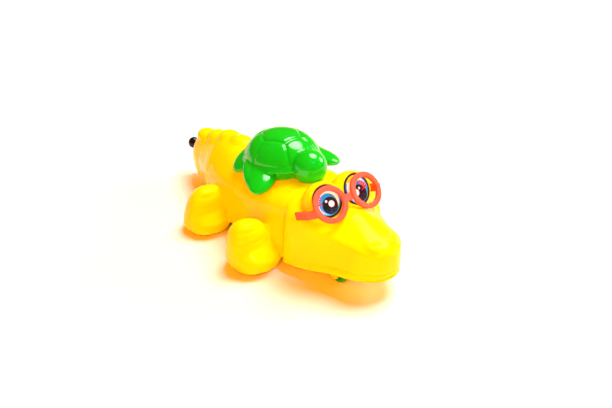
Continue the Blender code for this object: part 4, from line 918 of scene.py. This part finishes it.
def dome(inset=0.0):
    """Upper shell of the turtle as a stack of ellipses over a short brim."""
    a, b, h = TURTLE_LENGTH - inset, TURTLE_HALF_WIDTH - inset, TURTLE_RISE - inset
    stack = [(DOME_FOOT, 0.80)]
    if not inset:
        stack += [(-TURTLE_BRIM * 0.5, 0.88), (-TURTLE_BRIM * 0.45, 1.0), (-0.5, 1.06), (0.5, 1.035)]
    for k in range(DOME_LEVELS):
        rise = math.radians(7.0 + 82.0 * k / (DOME_LEVELS - 1))
        stack.append((h * math.sin(rise) ** 1.06, math.cos(rise) ** 0.96))
    turns = [math.tau * k / DOME_POINTS for k in range(DOME_POINTS)]
    return loft([
        [turtle_place @ Vector((a * r * math.cos(t), b * r * math.sin(t), z)) for t in turns]
        for z, r in stack
    ])


# Root and tip from the turtle's seat on the back, half width and half thickness
FLIPPERS = (
    ((-1.0, 7.0, 5.0), (12.2, 24.0, -2.4), 6.4, 3.0),
    ((-7.0, 14.4, 3.4), (10.8, 23.2, -3.0), 3.6, 2.6),
    ((-11.0, 4.0, 6.4), (-13.6, 17.4, -4.2), 5.6, 2.8),
)


def flipper(side, root, tip, width, thick):
    root, tip = [Vector((TURTLE_X + x, side * y, BACK + z)) for x, y, z in (root, tip)]
    ahead = (tip - root).normalized()
    across = ahead.cross(Vector(UP)).normalized()
    turn = Matrix((ahead, across, across.cross(ahead))).transposed()
    return ball((root + tip) / 2, ((tip - root).length / 2, width, thick), turn)


turtle_head = ball((TURTLE_HEAD_X, 0, TURTLE_HEAD_Z), (TURTLE_HEAD_RADIUS,) * 3)
turtle_neck = ball((TURTLE_HEAD_X - 6.0, 0, TURTLE_HEAD_Z - 3.0), (7.0, 6.0, 6.0))
turtle_tail = ball((TURTLE_X - TURTLE_LENGTH - 0.6, 0, BACK + 1.6), (4.2, 2.4, 1.8))
parts = [dome(), turtle_head, turtle_neck, turtle_tail]
parts += [flipper(side, *sizes) for side in (-1, 1) for sizes in FLIPPERS]
turtle = solid("turtle_fine", *parts)
fuse(turtle, TURTLE_FINE, rounds=5)

SEAM = 0.6
SEAM_DEPTH = 0.50
PILLOW = 2.4
PILLOW_RISE = 0.12
PLATE_EDGE = 0.50
SECTOR = math.pi / 3


def plate_seams(places, normals):
    """Seams of the shell: a six-sided plate on top and six plates round it, over a brim."""
    local = np.array(turtle_place.inverted())
    at = places @ local[:3, :3].T + local[:3, 3]
    u, v = at[:, 0] / TURTLE_LENGTH, at[:, 1] / TURTLE_HALF_WIDTH
    radius = np.hypot(u, v)
    over = radius ** 2 + (np.maximum(at[:, 2], 0.0) / TURTLE_RISE) ** 2
    on_dome = step_up(at[:, 2], 1.6, 3.0) * (radius < 1.0) * step_up(1.16 - over, 0.0, 0.08)
    sector = (np.arctan2(v, u) + SECTOR / 2) % SECTOR - SECTOR / 2
    reach = radius * np.cos(sector)
    edge = np.abs(reach - PLATE_EDGE)
    spoke = np.where(reach > PLATE_EDGE, radius * np.sin(SECTOR / 2 - np.abs(sector)), 1.0)
    seam = np.minimum(edge, spoke) * TURTLE_HALF_WIDTH
    return on_dome * (PILLOW_RISE * (1.0 - near(seam, PILLOW)) - SEAM_DEPTH * near(seam, SEAM))


press(turtle, plate_seams)
cut(turtle, solid("back", body_loft(inset=-0.15)))
cut(turtle, solid("turtle_hollow", dome(TURTLE_WALL)))
turtle_green = moulded_plastic(
    "turtle_green", deep=(0.002, 0.54, 0.010), clear=(0.004, 0.62, 0.016), rough=0.11,
    fixed=GLOSS | {
        "Subsurface Weight": 0.2, "Specular IOR Level": 0.5, "Specular Tint": (1.0, 1.0, 1.0, 1.0),
    },
)
seat(soften(turtle, turtle_green), "toy", "turtle_plastic", "turtle")


# Eye stickers
# Round printed labels of glossy film, one for each eye, pressed into shallow seats of the head.
# The print is a plain drawn eye: dark outline, blue band and iris, pupil, two glints, red lashes.

PRINT_ASIDE = 0.85
PRINT_LOW = -2.15
IRIS_RADIUS = 4.6
PUPIL_RADIUS = 3.9
SOFT = 0.12
LASHES = (
    ((2.3, -1.5), (5.8, 0.0)), ((3.0, -0.2), (5.5, 1.2)),
    ((2.7, 0.8), (4.7, 2.2)), ((2.3, 1.5), (3.7, 2.9)),
)


def eye_print(name, side, inward):
    """The print in millimetres on the sticker's own map: out to the side of the head, and up."""
    look, place = new_finish(name, {"Coat Weight": 0.3, "Coat Roughness": 0.06, "Roughness": 0.3})
    spot = place.node("ShaderNodeUVMap", uv_map="print")
    out, up = (
        (spot.node("ShaderNodeSeparateXYZ", {0: spot}, axis) - 0.5) * (2 * STICKER_RADIUS)
        for axis in "XY"
    )

    def away(x, y):
        return ((out - x) ** 2.0 + (up - y) ** 2.0) ** 0.5

    aside = side * PRINT_ASIDE
    edge = away(0.0, 0.0)
    iris = away(aside + 0.7 - 0.5 * inward, PRINT_LOW + 1.0)
    pupil = away(aside, PRINT_LOW)
    dots = place.noise(1900.0, 1.0)
    film = edge.smooth(3.0, 6.6).mix((0.86, 0.87, 0.88), (0.76, 0.82, 0.88))
    band = up.smooth(1.5, -6.5).mix((0.01, 0.20, 0.66), (0.02, 0.48, 0.92))
    colour = edge.smooth(5.55, 5.75).mix(film, band)
    colour = up.smooth(3.9, 4.3).mix(colour, (0.90, 0.52, 0.002))
    blue = (up * 0.6 + dots * 2.0).smooth(3.4, -2.2).mix((0.002, 0.24, 0.66), (0.03, 0.42, 0.86))
    colour = iris.smooth(IRIS_RADIUS, IRIS_RADIUS - SOFT * 2).mix(colour, blue)
    speckle = dots.smooth(0.52, 0.72) * up.smooth(-1.5, -5.5)
    navy = speckle.mix((0.004, 0.004, 0.007), (0.02, 0.16, 0.36))
    colour = pupil.smooth(PUPIL_RADIUS, PUPIL_RADIUS - SOFT * 2).mix(colour, navy)
    for base, tip in LASHES:
        stroke = Vector(tip) - Vector(base)
        ahead = stroke.normalized()
        run = (out - base[0]) * ahead.x + (up - base[1]) * ahead.y
        across = abs((up - base[1]) * ahead.x - (out - base[0]) * ahead.y)
        slim = run.smooth(0.0, stroke.length) * 0.34 + 0.12
        inked = (across - slim).smooth(0.10, -0.02) * run.smooth(0.0, 0.2)
        inked *= run.smooth(stroke.length, stroke.length - 0.2)
        colour = inked.mix(colour, (0.74, 0.004, 0.025))
    glint = away(aside - 0.8 - inward, PRINT_LOW + 0.6 + 0.3 * inward).smooth(1.5, 1.35)
    spark = away(aside + 1.4 - inward, PRINT_LOW + 2.15).smooth(0.64, 0.50)
    colour = glint.math("MAXIMUM", glint, spark).mix(colour, (0.87, 0.91, 0.94))
    colour = edge.smooth(6.15, 6.35).mix(colour, (0.004, 0.003, 0.007))
    return lay_on(look, Base_Color=colour, Normal=place.noise(700.0).bump(0.00001))


def sticker(side, word, inward):
    edge = STICKER_RADIUS - 0.1
    rings = [(0.0, -STICKER_THICK), (edge, -STICKER_THICK), (STICKER_RADIUS, -0.1), (edge, 0.0)]
    rings += [(STICKER_RADIUS * k / 6, 0.0) for k in range(5, -1, -1)]
    eye = eye_place(side)
    disc = solid(f"{word}_eye_print", lathe(rings, 96, eye))
    layer = disc.data.uv_layers.new(name="print")
    to_eye = (TO_FRAME @ eye).inverted()
    span = 2 * STICKER_RADIUS
    for loop in disc.data.loops:
        local = to_eye @ disc.data.vertices[loop.vertex_index].co
        layer.data[loop.index].uv = (0.5 + side * local.x / span, 0.5 + local.y / span)
    soften(disc, eye_print(f"{word}_eye_print", side, inward))
    seat(disc, "toy", "printed_film", f"{word}_eye_sticker")


sticker(-1, "right", inward=0.0)
sticker(1, "left", inward=0.9)


# Spectacles
# Coral frame without lenses, moulded in one piece: two flat rings, a bridge and two short arms.
# A peg on each arm snaps into a hole in the side of the head, which is not cut here.

RING_TILT = 38.0
RING_RADIUS = 8.2
RING_HOLE = 5.9
RING_DEPTH = 1.7
BRIDGE_HEIGHT = 3.2
RING_PLACE = Vector((43.95, 9.8, HEAD + 0.25))
ARM_SLOPE = 25.0
ARM_BELOW = 1.9
ARM_Y = 19.8
ARM_LENGTH = 12.0
ARM_HEIGHT = 3.6
ARM_THICK = 1.4
ARM_BACK = 3.0
PEG_RADIUS = 1.2
PEG_LENGTH = 4.2
PEG_FROM_END = 1.7
FRAME_FINE = 0.24


def block(low, high, place):
    """Box between two corners, set in place."""
    bm = bmesh.new()
    bmesh.ops.create_cube(bm, size=1.0)
    middle = (Vector(low) + Vector(high)) / 2
    span = Vector(high) - Vector(low)
    shape = place @ Matrix.Translation(middle) @ Matrix.Diagonal((*span, 1.0))
    bmesh.ops.transform(bm, matrix=shape, verts=bm.verts)
    return bm


def bar(rear, front, place):
    """Flat bar of an arm, from rear to front along the local X of place."""
    half = Vector((0, ARM_THICK / 2, ARM_HEIGHT / 2))
    return block(Vector((rear, 0, 0)) - half, Vector((front, 0, 0)) + half, place)


half = RING_DEPTH / 2
slope = Matrix.Rotation(math.radians(-ARM_SLOPE), 4, "Y")
tilt = Matrix.Rotation(math.radians(-RING_TILT), 4, "Y")
bridge = Vector((half - 0.1, RING_PLACE.y - RING_RADIUS + 0.9, BRIDGE_HEIGHT / 2))
parts = [block(-bridge, bridge, Matrix.Translation((RING_PLACE.x, 0, RING_PLACE.z)) @ tilt)]
for side in (-1, 1):
    centre = RING_PLACE * Vector((1, side, 1))
    profile = [(RING_HOLE, -half), (RING_RADIUS, -half), (RING_RADIUS, half), (RING_HOLE, half)]
    parts.append(lathe(profile, 120, along(eye_look(side, RING_TILT), centre)))
    start = Vector((RING_PLACE.x + 0.3, side * ARM_Y, RING_PLACE.z - ARM_BELOW))
    arm = Matrix.Translation(start) @ slope
    parts.append(bar(-ARM_LENGTH, -ARM_BACK, arm))
    foot = arm @ Vector((-ARM_BACK - 0.6, 0, 0))
    reach = centre + Vector((0.4, side * (RING_RADIUS - 1.0), -ARM_BELOW)) - foot
    ahead = reach.normalized()
    across = Vector(UP).cross(ahead).normalized()
    turn = Matrix((ahead, across, ahead.cross(across))).transposed().to_4x4()
    parts.append(bar(-0.3, reach.length, Matrix.Translation(foot) @ turn))
    peg = arm @ Vector((PEG_FROM_END - ARM_LENGTH, -side * ARM_THICK / 2, 0))
    parts.append(rod((0, -side, 0), peg, PEG_RADIUS, -0.6, PEG_LENGTH, 32))
glasses = solid("spectacles", *parts)
fuse(glasses, FRAME_FINE, rounds=6)
coral = moulded_plastic(
    "coral_plastic", deep=(0.84, 0.102, 0.056), clear=(0.90, 0.122, 0.070), rough=0.24,
    fixed=GLOSS | {"Subsurface Weight": 0.15},
)
seat(soften(glasses, coral), "toy", "coral_plastic", "glasses")


# Pull cord and knob
# The string's last run, from the top of the drum through the tail, and the black bead on its end.
# The bead stops at the tail when the spring has wound the string in.

KNOB_RADIUS = 2.85
KNOB_STEPS = 24
knob_x = TAIL_END_X - GAP - KNOB_RADIUS
reel = (JOINTS["reel_spin"] - Vector((toy_x, 0, 0))) / MM
leave = Vector((reel.x - 0.6, CORD_PITCH * CORD_TURNS / 2, reel.z + winding_radius))
guide = Vector((TAIL_END_X + 12.0, 0, CORD_Z))
knot = Vector((knob_x + 0.6, 0, CORD_Z))
route = [leave.lerp(guide, k / 30) for k in range(30)]
route += [guide.lerp(knot, k / 24) for k in range(25)]

line = bpy.data.meshes.new("cord_route")
line.from_pydata([TO_FRAME @ p for p in route], [(k, k + 1) for k in range(len(route) - 1)], [])
recipe = Recipe("pull_cord")
as_curve = recipe.node("GeometryNodeMeshToCurve", {"Mesh": recipe.source})
recipe.close(cord_skin(recipe, as_curve))
cord = recipe.make("string_run", line, Cord_radius=CORD_RADIUS * MM, Material=cord_look)
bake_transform(cord)
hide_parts("pull_cord")

tip = math.asin((CORD_RADIUS + GAP) / KNOB_RADIUS)
turns = [tip + (math.pi - 2 * tip) * k / KNOB_STEPS for k in range(KNOB_STEPS + 1)]
bead = [(KNOB_RADIUS * math.sin(a), KNOB_RADIUS * math.cos(a)) for a in turns]
knob = solid("pull_bead", lathe(bead, 64, along((1, 0, 0), (knob_x, 0, CORD_Z))))
black = moulded_plastic(
    "bead_black", deep=(0.002, 0.002, 0.002), clear=(0.006, 0.006, 0.007), rough=0.18,
    fixed={"Specular IOR Level": 0.3},
)
seat(soften(knob, black, 0.12), "knob", "black_plastic", "pull_knob")


# Screws
# Small zinc-plated self-tapping screws with cross recesses, all of one pattern in four lengths.
# They hold the base plate, the gearbox plates and the turtle.

SCREW_HEAD = 2.1
SCREW_HEAD_HEIGHT = 1.4
THREAD_DEPTH = 0.2
THREAD_PITCH = 0.8
RECESS_LOW = (-1.15, -0.22, -2.0)
RECESS_HIGH = (1.15, 0.22, -0.7)


def screw_mesh(name, length):
    """Pan head with a cross recess below z = 0, and a pointed, threaded shank above it."""
    core = SCREW_RADIUS - THREAD_DEPTH
    profile = [
        (0, -SCREW_HEAD_HEIGHT), (SCREW_HEAD * 0.45, -SCREW_HEAD_HEIGHT), (SCREW_HEAD * 0.8, -1.1),
        (SCREW_HEAD, -0.45), (SCREW_HEAD, 0), (core, 0),
    ]
    z = 0.5
    while z < length - 1.8:
        profile += [(core, z), (SCREW_RADIUS, z + 0.25), (core, z + 0.5)]
        z += THREAD_PITCH
    profile += [(core, length - 1.4), (0, length)]
    made = solid(name, lathe(profile, 24, Matrix.Identity(4)))
    for turn in (0.0, math.pi / 2):
        cut(made, solid("recess", block(RECESS_LOW, RECESS_HIGH, Matrix.Rotation(turn, 4, "Z"))))
    made.data.transform(Matrix.Translation((-toy_x, 0, 0)))
    return made


recipe = Recipe("screws")
screw = recipe.size("Screw", "Object")
pattern = recipe.node("GeometryNodeObjectInfo", {"Object": screw}, "Geometry")
heading = recipe.size("Heading", "Vector")
turned_to = recipe.node("FunctionNodeAlignRotationToVector", {"Vector": heading}, axis="Z")
recipe.close(recipe.node("GeometryNodeInstanceOnPoints", {
    "Points": recipe.source, "Instance": pattern, "Rotation": turned_to,
}))

SCREW_SETS = (
    ("base_screws", 8.4, UP, [f"base_screw_{n}" for n in range(1, 5)]),
    ("gearbox_foot_screws", 4.8, UP, [f"gearbox_foot_screw_{n}" for n in range(1, 5)]),
    ("gearbox_screws", 8.0, (0, -1, 0), [f"gearbox_screw_{n}" for n in range(1, 4)]),
    ("turtle_screws", 7.4, UP, ["turtle_screw_rear", "turtle_screw_front"]),
)


def screw_foot(node, heading):
    """Where the head of a screw bears, from the node it stands for."""
    low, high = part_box(node)
    ahead = Vector(heading)
    reach = abs((high - low).dot(ahead)) / 2
    return (low + high) / 2 - ahead * (reach - SCREW_HEAD_HEIGHT * MM)


for name, length, way, nodes in SCREW_SETS:
    feet = bpy.data.meshes.new(name)
    feet.from_pydata([screw_foot(node, way) for node in nodes], [], [])
    one = screw_mesh(f"{name}_pattern", length)
    screws = recipe.make(name, feet, Screw=one, Heading=way, Material=steel)
    bpy.data.objects.remove(one, do_unlink=True)
    screws.data.set_sharp_from_angle(angle=SHARP_EDGE)
    seat(screws, "toy", "steel", *nodes)


# Studio
# Plain pale floor in front of white, under a wide soft light from overhead, with an orange fill
# from the camera's side, a warm glow all round, a softbox in front on the far side and a small
# blue light on each eye.

WARM_GLOW = {"Color": (1.0, 0.48, 0.06, 1.0), "Strength": 0.18}
LIGHT_TO = (0, 0, 0.02)
KEY_AT = (-0.06, 0.34, 0.76)
FILL_AT = (0.55, -0.50, 0.45)
SOFTBOX_AT = (0.22, 0.74, 0.37)
EYE_LIGHT_AT = (0.41, 0.02, 0.51)
CAMERA_AT = (0.36869, -0.2788, 0.2848)
CAMERA_TO = (0.00455, 0.01085, 0.01072)

pale, place = new_finish("pale_floor", {"Specular IOR Level": 0.1, "Roughness": 0.7})
lay_on(pale, Base_Color=place.noise(9.0).mix((0.90, 0.90, 0.90), (0.93, 0.93, 0.93)))
floor_mesh = bpy.data.meshes.new("floor")
floor_mesh.from_pydata([(-3, -3, 0), (3, -3, 0), (3, 3, 0), (-3, 3, 0)], [], [(0, 1, 2, 3)])
floor_mesh.materials.append(pale)
place_new("floor", floor_mesh)

world = bpy.data.worlds.new("studio")
world.use_nodes = True
sky = Wire(world.node_tree)
glow = sky.node("ShaderNodeBackground", WARM_GLOW)
white = sky.node("ShaderNodeBackground", {"Color": (1.0, 1.0, 1.0, 1.0)})
seen = sky.node("ShaderNodeLightPath", out="Is Camera Ray")
pick = sky.node("ShaderNodeMixShader", {0: seen, 1: glow, 2: white})
sky.tree.links.new(pick.socket, sky.tree.nodes["World Output"].inputs["Surface"])
bpy.context.scene.world = world


def hang(data, spot, target, **settings):
    """Place a lamp or the camera at spot, turned to target, with its settings."""
    obj = place_new(data.name, set_all(data, settings))
    obj.location = spot
    obj.rotation_euler = (Vector(target) - Vector(spot)).to_track_quat("-Z", "Y").to_euler()
    return obj


lamp = bpy.data.lights.new
hang(lamp("key_overhead", "SUN"), KEY_AT, LIGHT_TO, energy=3.6, angle=math.radians(36.0))
fill = hang(
    lamp("warm_fill", "AREA"), FILL_AT, LIGHT_TO,
    shape="RECTANGLE", size=0.40, size_y=0.30, energy=12.5, color=(1.0, 0.26, 0.010),
)
fill.visible_glossy = False
hang(
    lamp("far_front", "AREA"), SOFTBOX_AT, (0.03, 0, 0.03),
    shape="RECTANGLE", size=0.30, size_y=0.30, energy=2.8,
)
for side, power in ((-1, 58.0), (1, 20.0)):
    hang(
        lamp("eye_light", "SPOT"), EYE_LIGHT_AT, TO_FRAME @ eye_place(side).translation,
        energy=power, color=(0.10, 0.52, 1.0),
        spot_size=math.radians(2.2), spot_blend=1.0, shadow_soft_size=0.02,
    )
bpy.context.scene.camera = hang(bpy.data.cameras.new("camera"), CAMERA_AT, CAMERA_TO, lens=67.98)
bpy.context.scene.view_settings.view_transform = "Standard"
